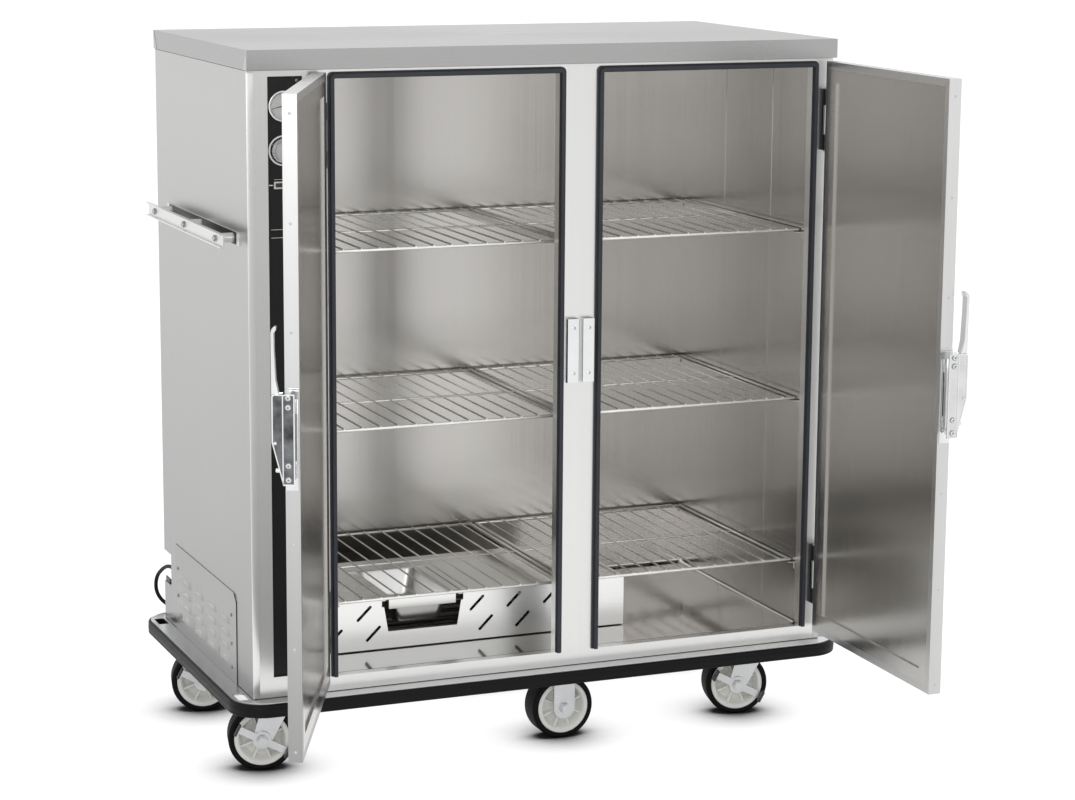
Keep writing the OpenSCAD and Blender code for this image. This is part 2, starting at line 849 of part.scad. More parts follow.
// Pan that fills the shell's inner opening, dished towards the outside
module door_liner() {
  e = edge_fold;
  dish = 4;
  wide = 26;
  difference() {
    union() {
      span([door_u0 + e - 6, door_in_y - skin_t * 2, door_z0 + e - 6],
        [door_u1 - e + 6, door_in_y - skin_t, door_z1 - e + 6]);
      span([door_u0 + e, door_in_y - skin_t * 2, door_z0 + e], [door_u1 - e, door_in_y, door_z1 - e]);
      span([door_u0 + e + wide - skin_t, door_in_y - dish - skin_t, door_z0 + e + wide - skin_t],
        [door_u1 - e - wide + skin_t, door_in_y - skin_t, door_z1 - e - wide + skin_t]);
    }
    span([door_u0 + e + wide, door_in_y - dish, door_z0 + e + wide],
      [door_u1 - e - wide, door_in_y + cut, door_z1 - e - wide]);
  }
}

module left_door_shell() { color("#cbcccc") on_door(-1) door_shell(); }
module right_door_shell() { color("#cbcccc") on_door(1) door_shell(); }
module left_door_liner() { color("#b9b9b8") on_door(-1) door_liner(); }
module right_door_liner() { color("#b9b9b8") on_door(1) door_liner(); }

// Latch: a box past the door's free edge behind a face plate, with a flange on the edge itself
module latch_body() {
  face_u1 = latch_u0 + latch_wall;
  difference() {
    union() {
      at_latch(latch_u0, face_u1) latch_outline(latch_in, latch_out, 0);
      at_latch(face_u1, door_u0) latch_outline(latch_in - 8, latch_out - 1.5, 4);
    }
    at_latch(lever_u0 - 0.5, lever_u0 + lever_w + 0.5) {
      translate([2, lever_pivot_z - 12]) square([latch_out + cut, 30]);
    }
  }
  rod_x(lever_pivot_y, lever_pivot_z, lever_pin_r, face_u1 - 0.5, door_u0 - 1);
  latch_flange();
  latch_rivets();
}

// Plate from u0 to u1 along the doorway; its outline's x is the distance out of the door's face
module at_latch(u0, u1) {
  translate([u1, door_out_y, 0]) rotate([90, 0, -90]) linear_extrude(u1 - u0) children();
}

module latch_outline(inward, out, inset) {
  polygon([[-inward, latch_z0 + inset], [1, latch_z0 + inset], [out, latch_z0 + inset + latch_taper],
    [out, latch_z1], [-inward, latch_z1]]);
}

// Flange on the door's edge with its slot and hole, and the strap above the housing
module latch_flange() {
  t = latch_flange_t;
  y0 = door_out_y + 1;
  y1 = door_out_y + door_t - 3;
  difference() {
    span([door_u0 - t, y0, latch_z0 - 13], [door_u0, y1, latch_z1 - 12]);
    span([door_u0 - t - cut, y1 - 6, latch_z0 + 38], [door_u0 + cut, y1 - 3, latch_z1 - 36]);
    translate([door_u0 - t - cut, y1 - 6, latch_z0 + 10]) rotate([0, 90, 0]) cylinder(h = t + 2 * cut, r = 3);
  }
  span([door_u0 - 1.5, door_out_y, latch_z1 + 2], [door_u0, y1 + 2, latch_z1 + 7]);
}

// Screw heads and a rivet on the face plate, and the stop on its slanted edge
module latch_rivets() {
  for (dz = [10, 34, latch_h - 22, latch_h - 6])
    rod_x(door_out_y + 8, latch_z0 + dz, 4.5, latch_u0 - 1.5, latch_u0);
  rod_x(door_out_y - latch_out + 6, latch_z0 + 73, 3.4, latch_u0 - 1.5, latch_u0);
  rod_y(latch_u0 + 8, latch_z0 + 25, 4, door_out_y - 13, door_out_y + 2);
}

// Lever that stands up out of the housing, widest at its foot, with its tip hooked to the door
module latch_lever() {
  tip = lever_pivot_z + lever_len;
  foot = latch_out - 11.5;
  face = latch_out + 0.5;
  axis_out = door_out_y - lever_pivot_y;
  at_latch(lever_u0, lever_u0 + lever_w) difference() {
    union() {
      translate([axis_out, lever_pivot_z]) circle(6.5);
      polygon([[foot, lever_pivot_z + 14], [axis_out - 6, lever_pivot_z], [axis_out + 6, lever_pivot_z],
        [face, lever_pivot_z + 14], [face, tip - 12], [face - 3, tip - 4], [face - 9, tip],
        [face - 10, tip - 3], [face - 5.5, tip - 9], [face - 5, tip - 16]]);
    }
    translate([axis_out, lever_pivot_z]) circle(lever_pin_r + run_gap);
  }
}

module left_latch_body() { color("#d6d7d8") on_door(-1) latch_body(); }
module right_latch_body() { color("#d6d7d8") on_door(1) latch_body(); }
module left_latch_lever() { color("#e2e3e4") on_door(-1) latch_lever(); }
module right_latch_lever() { color("#e2e3e4") on_door(1) latch_lever(); }

// Control panel and its instruments

module control_panel() {
  lap = 6;
  color("#2b2a2b")
    difference() {
      span([panel_x0 - lap, panel_y, panel_z0 - lap], [panel_x1 + lap, panel_y + 2, panel_z1 + lap]);
      rod_y(gauge_x, gauge_z, gauge_r - 6 + run_gap, panel_y - cut, panel_y + 2 + cut);
      rod_y(gauge_x, knob_z, 4, panel_y - cut, panel_y + 2 + cut);
      span([gauge_x - 8 - switch_w / 2 + 1, panel_y - cut, switch_z - switch_h / 2 + 1],
        [gauge_x - 8 + switch_w / 2 - 1, panel_y + 2 + cut, switch_z + switch_h / 2 - 1]);
    }
}

module thermometer_case() {
  y0 = panel_y - gauge_depth;
  color("#c8c9ca")
    translate([gauge_x, 0, gauge_z]) rotate([90, 0, 0])
      rotate_extrude() difference() {
        union() {
          translate([0, -panel_y]) square([gauge_r - 1.5, gauge_depth]);
          translate([0, -panel_y]) square([gauge_r, gauge_depth - 1.5]);
          translate([gauge_r - 1.5, -y0 - 1.5]) circle(1.5);
          translate([0, -panel_y - 22]) square([gauge_r - 6, 22.01]);
        }
        translate([-cut, -panel_y + 1.5]) square([gauge_r - 3 + cut, gauge_depth]);
      }
}

module thermometer_dial() {
  y1 = panel_y - 1.5;
  color("white")
    difference() {
      rod_y(gauge_x, gauge_z, gauge_r - 3.1, y1 - dial_t, y1);
      rod_y(gauge_x, gauge_z, 0.9, y1 - dial_t - cut, y1 + cut);
    }
}

module thermometer_needle() {
  y1 = panel_y - 1.5;
  tip = gauge_r - 8;
  color("#202020") {
    rod_y(gauge_x, gauge_z, 0.85, y1 - 2, y1);
    translate([gauge_x, y1 - 1.6, gauge_z]) rotate([0, -needle_angle, 0]) rotate([90, 0, 0])
      linear_extrude(0.6) {
        circle(2.6);
        polygon([[-6, -1.2], [tip, -0.3], [tip, 0.3], [-6, 1.2]]);
      }
  }
}

module thermometer_lens() {
  y0 = panel_y - gauge_depth + 0.6;
  color([0.85, 0.9, 0.92, 0.4])
    rod_y(gauge_x, gauge_z, gauge_r - 3.05, y0, y0 + lens_t);
}

module thermostat_scale() {
  color("#d9dadb")
    difference() {
      rod_y(gauge_x, knob_z, gauge_r - 0.5, panel_y - 1.2, panel_y);
      rod_y(gauge_x, knob_z, 4, panel_y - 1.2 - cut, panel_y + cut);
    }
}

module thermostat_knob() {
  y1 = panel_y - 1.2 - seat_gap;
  grips = 20;
  color("#b9babc")
    difference() {
      translate([gauge_x, y1, knob_z]) rotate([90, 0, 0]) {
        cylinder(h = 4, r = knob_r + 3);
        cylinder(h = knob_h - 1.5, r = knob_r);
        cylinder(h = knob_h, r = knob_r - 1.5);
        translate([0, 0, -14]) cylinder(h = 15, r = 3.9);
      }
      for (k = [0:grips - 1]) translate([gauge_x, 0, knob_z]) rotate([0, 360 / grips * k, 0])
        rod_y(knob_r + 0.6, 0, 1.4, y1 - knob_h - cut, y1 - 4.5);
      span([gauge_x - 1, y1 - knob_h - cut, knob_z + 4], [gauge_x + 1, y1 - knob_h + 1, knob_z + knob_r + cut]);
    }
}

module switch_frame() {
  x = gauge_x - 8;
  color("#e6e6e2")
    difference() {
      union() {
        span([x - switch_w / 2, panel_y - 2.5, switch_z - switch_h / 2],
          [x + switch_w / 2, panel_y, switch_z + switch_h / 2]);
        span([x - switch_w / 2 + 1.2, panel_y, switch_z - switch_h / 2 + 1.2],
          [x + switch_w / 2 - 1.2, panel_y + 16, switch_z + switch_h / 2 - 1.2]);
      }
      span([x - switch_w / 2 + 2.5, panel_y - 2.5 - cut, switch_z - switch_h / 2 + 2.5],
        [x + switch_w / 2 - 2.5, panel_y + 10, switch_z + switch_h / 2 - 2.5]);
    }
}

// Rocker: a shallow prism that tips about an upright axle
module power_rocker() {
  x = gauge_x - 8;
  half = switch_w / 2 - 2.5 - 1.1;
  color("#1d1d1e")
    translate([x, panel_y, switch_z - switch_h / 2 + 2.5 + seat_gap])
      linear_extrude(switch_h - 5 - 2 * seat_gap)
        polygon([[-half, -1.2], [0, -3], [half, -4.2], [half, -1], [2.5, 4], [-2.5, 4], [-half, 1]]);
}

// Shelves and what carries them

module shelf_supports() {
  color("#c9caca")
    for (k = [0:2]) {
      z = base_z + shelf_z[k] - rail_r - seat_gap;
      y0 = shelf_y0 - 12;
      y1 = shelf_y1 + 10;
      translate([liner_x0, 0, z]) wall_ledge(y0, y1);
      translate([liner_x1, 0, z]) mirror([1, 0, 0]) wall_ledge(y0, y1);
      translate([mid_x, 0, z]) centre_rail(frame_back, liner_back);
    }
}

// Angle on a side wall that a shelf's end lies on
module wall_ledge(y0, y1) {
  span([0, y0, -ledge_w], [ledge_t, y1, 0]);
  span([0, y0, -ledge_t], [ledge_w, y1, 0]);
}

// Rail in the middle of the cabinet that both shelves of a pair lie on
module centre_rail(y0, y1) {
  span([-centre_rail_w / 2, y0, -ledge_t], [centre_rail_w / 2, y1, 0]);
  span([-ledge_t, y0, -ledge_w], [ledge_t, y1, -ledge_t]);
}

// One wire shelf at height z, from u0 to u1 of a doorway
module wire_shelf(z) {
  u0 = 4;
  u1 = clear_out - shelf_side_gap + 6;
  inset = 27;
  pitch = (u1 - u0 - 2 * inset) / (wire_count - 1);
  for (y = [shelf_y0, shelf_y1]) rod_x(y, z, rail_r, u0, u1, $fn = 24);
  rod_x((shelf_y0 + shelf_y1) / 2, z, rail_r - 1, u0, u1, $fn = 16);
  for (u = [u0 + rail_r, u1 - rail_r]) rod_y(u, z, rail_r - 0.4, shelf_y0, shelf_y1, $fn = 20);
  for (k = [0:wire_count - 1])
    rod_y(u0 + inset + k * pitch, z + rail_r, wire_r, shelf_y0 - 2, shelf_y1 + 2, $fn = 16);
}

module shelf_pair(k) {
  color("#dadbdc")
    for (s = [-1, 1]) at_doorway(s) wire_shelf(base_z + shelf_z[k]);
}

module lower_shelves() { shelf_pair(0); }
module middle_shelves() { shelf_pair(1); }
module top_shelves() { shelf_pair(2); }

// Heater cover with slanted slots and the water pan's cut-out

module heater_cover() {
  t = skin_t;
  legs = [[cover_x0 + 15, cover_y0 + 18], [cover_x1 - 15, cover_y0 + 18],
    [cover_x0 + 15, cover_y1 - 18], [cover_x1 - 15, cover_y1 - 18]];
  color("#d4d5d4") {
    difference() {
      span([cover_x0, cover_y0, cover_z0], [cover_x1, cover_y1, cover_z1]);
      span([cover_x0 - cut, cover_y0 + t, cover_z0 - cut], [cover_x1 - t, cover_y1 - t, cover_z1 - t]);
      translate([0, cover_y0 + t + cut, 0]) rotate([90, 0, 0]) linear_extrude(t + 2 * cut) {
        pan_cutout();
        cover_slots();
      }
      span([pan_x - cutout_top / 2, cover_y0 - cut, cover_z1 - t - cut],
        [pan_x + cutout_top / 2, cover_y0 + pan_len - 20, cover_z1 + cut]);
    }
    for (s = [-1, 1]) translate([pan_x, 0, 0]) on_side(s) pan_ledge();
    for (p = legs) translate([p[0], p[1], floor_z]) {
      cylinder(h = cover_top - t, r = 4);
      cylinder(h = foot_t, r = foot_r);
    }
  }
}

// Cut-out in the cover's front: a trapezium with ears at its upper corners
module pan_cutout() {
  z1 = cover_z1 + cut;
  z0 = cover_z1 - cutout_h;
  polygon([[pan_x - cutout_bottom / 2, z0], [pan_x + cutout_bottom / 2, z0],
    [pan_x + cutout_top / 2 - ear_w, cover_z1 - ear_h], [pan_x + cutout_top / 2, cover_z1 - ear_h],
    [pan_x + cutout_top / 2, z1], [pan_x - cutout_top / 2, z1],
    [pan_x - cutout_top / 2, cover_z1 - ear_h], [pan_x - cutout_top / 2 + ear_w, cover_z1 - ear_h]]);
}

// Two staggered rows of slanted slots that stop clear of the cut-out
module cover_slots() {
  half_run = slot_len * cos(slot_tilt) / 2;
  for (row = [0, 1]) {
    z = cover_z0 + slot_row_z + row * slot_row_pitch;
    x_first = cover_x0 + slot_first - row * slot_shift;
    count = floor((cover_x1 - slot_end_in - x_first) / slot_pitch);
    for (k = [0:count]) {
      x = x_first + k * slot_pitch;
      if (abs(x - pan_x) - half_run > cutout_top / 2 + 2)
        translate([x, z]) rotate(slot_tilt) {
          square([slot_len - slot_w, slot_w], center = true);
          for (e = [-1, 1]) translate([e * (slot_len - slot_w) / 2, 0]) circle(slot_w / 2, $fn = 16);
        }
    }
  }
}

// Angle under the pan's rim, hung from the cover's top
module pan_ledge() {
  x = cutout_top / 2;
  y0 = cover_y0 + 3;
  y1 = cover_y0 + pan_len + 10;
  span([x - 9, y0, pan_ledge_z - pan_ledge_t], [x + 3, y1, pan_ledge_z]);
  span([x + 3 - pan_ledge_t, y0, pan_ledge_z - pan_ledge_t], [x + 3, y1, cover_z1 - skin_t]);
}

module water_pan() {
  half_rim = cutout_top / 2 - 1.2;
  half_top = cutout_top / 2 - 25;
  half_low = cutout_bottom / 2 - 22;
  y0 = cover_y0 + 2;
  y1 = y0 + pan_len;
  inset = 14;
  color("#d0d1d2") difference() {
    union() {
      span([pan_x - half_rim, y0, pan_z1 - pan_rim_t], [pan_x + half_rim, y1, pan_z1]);
      span([pan_x - pan_lip_w / 2, y0, pan_z1 - pan_lip_h], [pan_x + pan_lip_w / 2, y0 + pan_rim_t, pan_z1]);
      pan_block(half_top, half_low, y0 + inset, y1 - inset, pan_depth, 0);
    }
    pan_block(half_top - pan_wall, half_low - pan_wall, y0 + inset + pan_wall,
      y1 - inset - pan_wall, pan_depth - pan_wall, cut);
  }
}

// Tapered block that reaches from above the rim down to a depth below it
module pan_block(half_top, half_low, y0, y1, depth, above) {
  translate([pan_x, y1, pan_z1]) rotate([90, 0, 0]) linear_extrude(y1 - y0)
    polygon([[-half_top, above], [half_top, above], [half_low, -depth], [-half_low, -depth]]);
}

// Tubular element: two hairpins side by side under the cover, fed through the liner's wall
module heating_element() {
  z = cover_z0 + 14;
  r = 4;
  bend = 26;
  x0 = liner_x0 + 24;
  x1 = cover_x1 - 90;
  y_mid = (cover_y0 + cover_y1) / 2;
  color("#6d6259") {
    for (k = [-1, 1]) translate([0, y_mid + k * 2 * bend, z]) {
      for (j = [-1, 1]) rod_x(j * bend, 0, r, x0, x1);
      translate([x1, 0, 0]) rotate([0, 0, -90]) rotate_extrude(angle = 180) translate([bend, 0]) circle(r);
    }
    span([liner_x0, y_mid - 3.6 * bend, z - 16], [x0, y_mid + 3.6 * bend, z + 16]);
  }
}

// Casters

module caster_mounts() {
  color("#cfd0d2") for (p = swivel_xy) translate([p[0], p[1], 0]) {
    difference() {
      translate([-mount_x / 2, -mount_y / 2, plate_bottom]) cube([mount_x, mount_y, plate_t]);
      for (x = [-bolt_x, bolt_x], y = [-bolt_y, bolt_y])
        translate([x, y, plate_bottom - cut]) cylinder(h = plate_t + 2 * cut, r = bolt_r);
    }
    translate([0, 0, crown_z + crown_t + seat_gap])
      cylinder(h = plate_bottom - crown_z - crown_t - seat_gap, r = crown_r - 2);
    translate([0, 0, crown_z - 1.5]) cylinder(h = plate_bottom - crown_z + 1.5, r = king_r);
    translate([0, 0, crown_z - 1.5 - seat_gap]) cylinder(h = 1.5, r = king_r + 4);
  }
}

// Fork leg outline in X and Z, from the crown to a round end at the axle
module leg_outline(top_half, axle_x, end_r) {
  c = [axle_x, wheel_r];
  a = [-top_half, crown_z + crown_t];
  b = [top_half, crown_z + crown_t];
  translate(c) circle(end_r);
  polygon([a, b, tangent_point(b, c, end_r, -1), c, tangent_point(a, c, end_r, 1)]);
}

// Two legs with their axle holes
module fork_legs(top_half, axle_x, end_r) {
  for (y = [leg_out, -leg_in]) translate([0, y, 0]) rotate([90, 0, 0])
    linear_extrude(leg_t) difference() {
      leg_outline(top_half, axle_x, end_r);
      translate([axle_x, wheel_r]) circle(axle_r + run_gap);
    }
}

// Axle bolt with its head and nut outside the legs
module axle_bolt(axle_x, out) {
  nut_h = 7;
  rod_y(axle_x, wheel_r, axle_r, -out, out);
  translate([axle_x, out + nut_h, wheel_r]) rotate([90, 0, 0]) cylinder(h = nut_h, r = nut_r, $fn = 6);
  translate([axle_x, -out, wheel_r]) rotate([90, 0, 0]) {
    cylinder(h = nut_h - 1, r = nut_r, $fn = 6);
    translate([0, 0, nut_h - 1]) cylinder(h = 2.5, r = nut_r - 3);
  }
}

module swivel_fork() {
  color("#d8d9da") {
    difference() {
      translate([0, 0, crown_z]) {
        cylinder(h = crown_t, r = crown_r);
        translate([-fork_half, -leg_out, 0]) cube([2 * fork_half, 2 * leg_out, crown_t]);
      }
      translate([0, 0, crown_z - cut]) cylinder(h = crown_t + 2 * cut, r = king_r + run_gap);
    }
    fork_legs(fork_half, -trail, swivel_end_r);
    axle_bolt(-trail, leg_out + brake_t + 2 * seat_gap);
  }
}

module rigid_forks() {
  color("#d8d9da") for (y = rigid_ys) translate([rigid_x, y, 0]) {
    difference() {
      translate([-mount_x / 2, -leg_out, plate_bottom]) cube([mount_x, 2 * leg_out, plate_t]);
      for (x = [-bolt_x, bolt_x]) translate([x, 0, plate_bottom - cut])
        cylinder(h = plate_t + 2 * cut, r = bolt_r);
    }
    for (s = [leg_out, -leg_in]) translate([0, s, 0]) rotate([90, 0, 0]) linear_extrude(leg_t) {
      difference() {
        union() {
          translate([-rigid_half, wheel_r]) square([2 * rigid_half, plate_bottom - wheel_r]);
          translate([0, wheel_r]) circle(rigid_half);
        }
        translate([0, wheel_r]) circle(axle_r + run_gap);
      }
    }
    axle_bolt(0, leg_out);
  }
}

// Wheel about an axle along Y at the origin: a tyre and a spoked hub
module caster_wheel() {
  rim_r = wheel_r - tyre_t;
  color("#242426") rotate([90, 0, 0]) rotate_extrude($fn = 96) tyre_profile(rim_r);
  color("#d8d6cc") rotate([90, 0, 0]) {
    rotate_extrude($fn = 96) hub_profile(rim_r);
    for (k = [0:hub_ribs - 1]) rotate(360 / hub_ribs * (k + 0.5))
      translate([hub_r - 2, -rib_t / 2, -wheel_w / 2 + 5])
        cube([rim_r - rim_t - hub_r + 4, rib_t, wheel_w - 10]);
  }
}

module tyre_profile(rim_r) {
  r = tyre_round;
  half = wheel_w / 2;
  translate([rim_r, -half]) square([tyre_t - r, wheel_w]);
  translate([rim_r, -half + r]) square([tyre_t, wheel_w - 2 * r]);
  for (s = [-1, 1]) translate([wheel_r - r, s * (half - r)]) circle(r);
}

module hub_profile(rim_r) {
  translate([rim_r - rim_t, -wheel_w / 2]) square([rim_t, wheel_w]);
  translate([hub_r - 1, -4]) square([rim_r - rim_t - hub_r + 2, 8]);
  translate([axle_r + run_gap, -hub_w / 2]) square([hub_r - axle_r - run_gap, hub_w]);
}

// Brake: a rocker across the wheel's face with a pressed tab at each end
module swivel_brake() {
  half = 54;
  end_w = 14;
  color("#e3e4e5") translate([-trail, brake_y, wheel_r]) rotate([0, -brake_tilt, 0]) {
    rotate([90, 0, 0]) linear_extrude(brake_t) difference() {
      union() {
        square([2 * half, end_w], center = true);
        circle(17);
      }
      circle(axle_r + run_gap);
    }
    for (s = [-1, 1]) translate([s * (half - 1.25), -brake_t - 6, 0])
      cube([2.5, 12.1, end_w + 8], center = true);
  }
}

module at_swivel(k) {
  translate([swivel_xy[k][0], swivel_xy[k][1], 0]) rotate([0, 0, -caster_turn]) children();
}

module swivel_wheel(k) { at_swivel(k) translate([-trail, 0, wheel_r]) caster_wheel(); }
module rigid_wheel(k) { translate([rigid_x, rigid_ys[k], wheel_r]) caster_wheel(); }

// Cord, its gland and its plug

module cord_gland() {
  color("#2a2a2b") {
    rod_y(gland_x, gland_z, 9, recess_y - 12, recess_y);
    translate([gland_x, recess_y + gland_flange, gland_z]) rotate([90, 0, 0])
      cylinder(h = gland_flange, r = 13, $fn = 6);
    translate([gland_x, recess_y + gland_flange, gland_z]) rotate([-90, 0, 0])
      cylinder(h = relief_len, r1 = 8, r2 = cord_r + 1);
  }
}

// Small bracket on the ledge below the cord's recess
module cord_clip() {
  x0 = -half_w + skin_t;
  color("#55575a") {
    span([x0, half_d - 32, recess_z0], [x0 + 22, half_d - 4, recess_z0 + 2]);
    span([x0, half_d - 32, recess_z0 + 2], [x0 + 2, half_d - 4, recess_z0 + 11]);
    translate([x0 + 12, half_d - 16, recess_z0 + 2]) cylinder(h = 2.5, r = 4);
  }
}

// Coil: the turns spiral in on the floor, climb, and spiral out again on top
coil_r0 = coil_mid_r + coil_pitch * coil_turns / 4;
coil_half = coil_turns / 2;
lead = 2 * cord_r;

function coil_radius(t) = coil_r0 - coil_pitch * min(t, coil_turns - t);

function coil_height(t) =
  coil_z0 + coil_layer * (1 - cos(180 * min(max(2 * (t - coil_half) + 0.5, 0), 1))) / 2;

coil_spiral = [for (i = [0:coil_turns * coil_ring]) let (t = i / coil_ring, r = coil_radius(t))
  [coil_x + r * sin(360 * t), coil_y - r * cos(360 * t), coil_height(t)]];
coil_first = coil_spiral[0] - [lead, 0, 0];
coil_last = coil_spiral[len(coil_spiral) - 1];
coil_path = concat([coil_first], coil_spiral, [coil_last + [coil_tail, 0, 0]]);
cord_path = concat(
  spline(concat([[gland_x, cord_y0, gland_z]], cord_route, [coil_first - [lead, 0, 0]]), 2),
  [coil_first]);

module cord() {
  color("#17171a") tube(cord_path, cord_r, cord_sides, [0, 0, 1]);
}

module cord_coil() {
  color("#17171a") tube(coil_path, cord_r, 6, [0, 0, 1]);
}

// Plug: a moulded body, its strain relief and three blades, lying beside the coil
plug_y = coil_last[1];
plug_x = coil_last[0] + coil_tail;

module plug() {
  z = coil_last[2];
  color("#1b1b1d") {
    rod_x(plug_y, z, cord_r + 1.5, plug_x, plug_x + 26);
    rod_x(plug_y, z, z - 0.05, plug_x + 26, plug_x + 62);
  }
  color("#c9b98a") {
    for (y = [-6.3, 6.3])
      span([plug_x + 62, plug_y + y - 0.75, z - 1], [plug_x + 80, plug_y + y + 0.75, z + 5.3]);
    rod_x(plug_y, z - 5.5, 2.4, plug_x + 62, plug_x + 83);
  }
}

echo(cord_length = path_length(cord_path), coil_length = path_length(coil_path),
  coil_gap = least_gap(coil_path, coil_ring / 2) - 2 * cord_r);

base_frame();
bumper();
left_side_panel();
right_side_panel();
back_panel();
top_cap();
face_frame();
interior_liner();
service_panel();
push_handles();
door_gaskets();
strike_plates();
hinge_frame_leaves();
hinge_pins();
control_panel();
thermometer_case();
thermometer_dial();
thermometer_needle();
thermometer_lens();
thermostat_scale();
thermostat_knob();
switch_frame();
power_rocker();
shelf_supports();
top_shelves();
middle_shelves();
lower_shelves();
heater_cover();
heating_element();
water_pan();
panel_screws();
left_door_shell();
left_door_liner();
left_latch_body();
left_latch_lever();
right_door_shell();
right_door_liner();
right_latch_body();
right_latch_lever();
caster_mounts();
rigid_forks();
rigid_wheel(0);  // front_rigid_wheel
rigid_wheel(1);  // rear_rigid_wheel
at_swivel(0) swivel_fork();  // front_left_fork
swivel_wheel(0);  // front_left_wheel
at_swivel(0) swivel_brake();  // front_left_brake
at_swivel(1) swivel_fork();  // front_right_fork
swivel_wheel(1);  // front_right_wheel
at_swivel(1) swivel_brake();  // front_right_brake
at_swivel(2) swivel_fork();  // rear_left_fork
swivel_wheel(2);  // rear_left_wheel
at_swivel(2) swivel_brake();  // rear_left_brake
at_swivel(3) swivel_fork();  // rear_right_fork
swivel_wheel(3);  // rear_right_wheel
at_swivel(3) swivel_brake();  // rear_right_brake
cord_gland();
cord_clip();
cord();
cord_coil();
plug();
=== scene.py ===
import math

import bmesh
import bpy
from mathutils import Matrix, Vector


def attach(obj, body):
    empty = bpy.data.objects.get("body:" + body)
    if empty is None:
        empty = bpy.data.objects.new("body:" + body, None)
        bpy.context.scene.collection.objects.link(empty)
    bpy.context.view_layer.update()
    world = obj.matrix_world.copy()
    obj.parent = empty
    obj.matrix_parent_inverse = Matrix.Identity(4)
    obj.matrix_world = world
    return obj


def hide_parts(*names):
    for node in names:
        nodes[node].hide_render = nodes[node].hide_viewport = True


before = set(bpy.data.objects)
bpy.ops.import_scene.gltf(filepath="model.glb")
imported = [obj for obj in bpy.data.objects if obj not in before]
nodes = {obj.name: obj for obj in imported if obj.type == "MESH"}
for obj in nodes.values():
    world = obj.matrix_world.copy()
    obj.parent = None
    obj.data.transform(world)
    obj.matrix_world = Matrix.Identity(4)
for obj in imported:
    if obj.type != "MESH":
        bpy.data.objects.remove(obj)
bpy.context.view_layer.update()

# Sizes in millimetres, the same as the model's
MM = 0.001
HALF_W, HALF_D = 598, 315
FRONT_Y = -HALF_D
BASE_Z = 146
CAP_X, CAP_Y0, CAP_Y1 = 600, -327, 317
CAP_TOP, CAP_LOW = 1361, 1324
MID_X = 60.5
DOOR_U0 = 31
DOOR_IN_Y = FRONT_Y - 10.3
DOOR_OUT_Y = DOOR_IN_Y - 25
PIVOT_U, PIVOT_Y = 516.5, -330.5
DOOR_ANGLES = {1: 89, -1: 114}
CORNERS = ["front_left", "front_right", "rear_left", "rear_right"]
SWIVELS = [(-543, -282), (458, -282), (-543, 122), (458, 122)]
TURN, TRAIL = 13, 30
RIGID_X, RIGID_YS = 33, (-294, 122)
WHEEL_R, WHEEL_W = 63.5, 50


# Camera, fitted to the photograph's 1075 by 800 pixels

PHOTO_W = 1075
FOCAL_PX = 2796
YAW, PITCH, ROLL = 22.58, 10.88, 0.41
EYE = (-2.0487, -5.1819, 1.6949)


def make_camera():
    data = bpy.data.cameras.new("photo_camera")
    data.sensor_width = 36
    data.lens = FOCAL_PX / PHOTO_W * data.sensor_width
    data.clip_end = 200
    camera = bpy.data.objects.new("photo_camera", data)
    bpy.context.scene.collection.objects.link(camera)
    yaw = Matrix.Rotation(math.radians(-YAW), 4, "Z")
    pitch = Matrix.Rotation(math.radians(90 - PITCH), 4, "X")
    roll = Matrix.Rotation(math.radians(ROLL), 4, "Z")
    camera.matrix_world = Matrix.Translation(EYE) @ yaw @ pitch @ roll
    bpy.context.scene.camera = camera


make_camera()


# Materials

def add(tree, kind, inputs=None, **settings):
    """Adds a node; inputs are values or sockets to link."""
    made = tree.nodes.new(kind)
    for key, value in settings.items():
        setattr(made, key, value)
    for key, value in (inputs or {}).items():
        if isinstance(value, bpy.types.NodeSocket):
            tree.links.new(value, made.inputs[key])
        else:
            made.inputs[key].default_value = value
    return made


MATERIALS = {}


def blank(name, colour, roughness, metallic, **constants):
    """Starts a material with a Principled shader and constant values on its sockets."""
    material = MATERIALS[name] = bpy.data.materials.new(name)
    material.use_nodes = True
    tree = material.node_tree
    shader = tree.nodes["Principled BSDF"]
    shader.inputs["Base Color"].default_value = (*colour, 1)
    shader.inputs["Roughness"].default_value = roughness
    shader.inputs["Metallic"].default_value = metallic
    for key, value in constants.items():
        shader.inputs[key.replace("_", " ")].default_value = value
    return tree, shader


def noise(tree, scale, detail=3, stretch=(1, 1, 1), offset=(0, 0, 0)):
    """Noise over the piece's own place in the frame, stretched along an axis."""
    place = add(tree, "ShaderNodeTexCoord").outputs["Object"]
    mapped = add(tree, "ShaderNodeMapping", {"Vector": place, "Scale": stretch, "Location": offset})
    made = add(tree, "ShaderNodeTexNoise", {"Vector": mapped.outputs[0], "Scale": scale, "Detail": detail})
    return made.outputs["Fac"]


def spread(tree, value, low, high, start=0.3, end=0.7):
    """Maps a noise value from start..end to low..high."""
    made = add(tree, "ShaderNodeMapRange", {"Value": value, "From Min": start, "From Max": end,
                                            "To Min": low, "To Max": high})
    return made.outputs[0]


def tint(tree, value, dark, light):
    """Mixes two colours by a value."""
    return add(tree, "ShaderNodeMix", {0: value, 6: (*dark, 1), 7: (*light, 1)},
               data_type="RGBA").outputs[2]


def bump(tree, shader, height, strength, distance):
    made = add(tree, "ShaderNodeBump", {"Height": height, "Strength": strength, "Distance": distance})
    tree.links.new(made.outputs[0], shader.inputs["Normal"])


def scaled(colour, factor):
    """A colour made darker or lighter, no lighter than white."""
    return tuple(min(1, c * factor) for c in colour)


ALONG_X, ALONG_Y, ALONG_Z = 0, 1, 2
# Heights in metres over which brushed sheets are painted darker towards the floor, as painted shade
PAINTED_SHADE_LOW_Z, PAINTED_SHADE_HIGH_Z = 0.15, 1.25


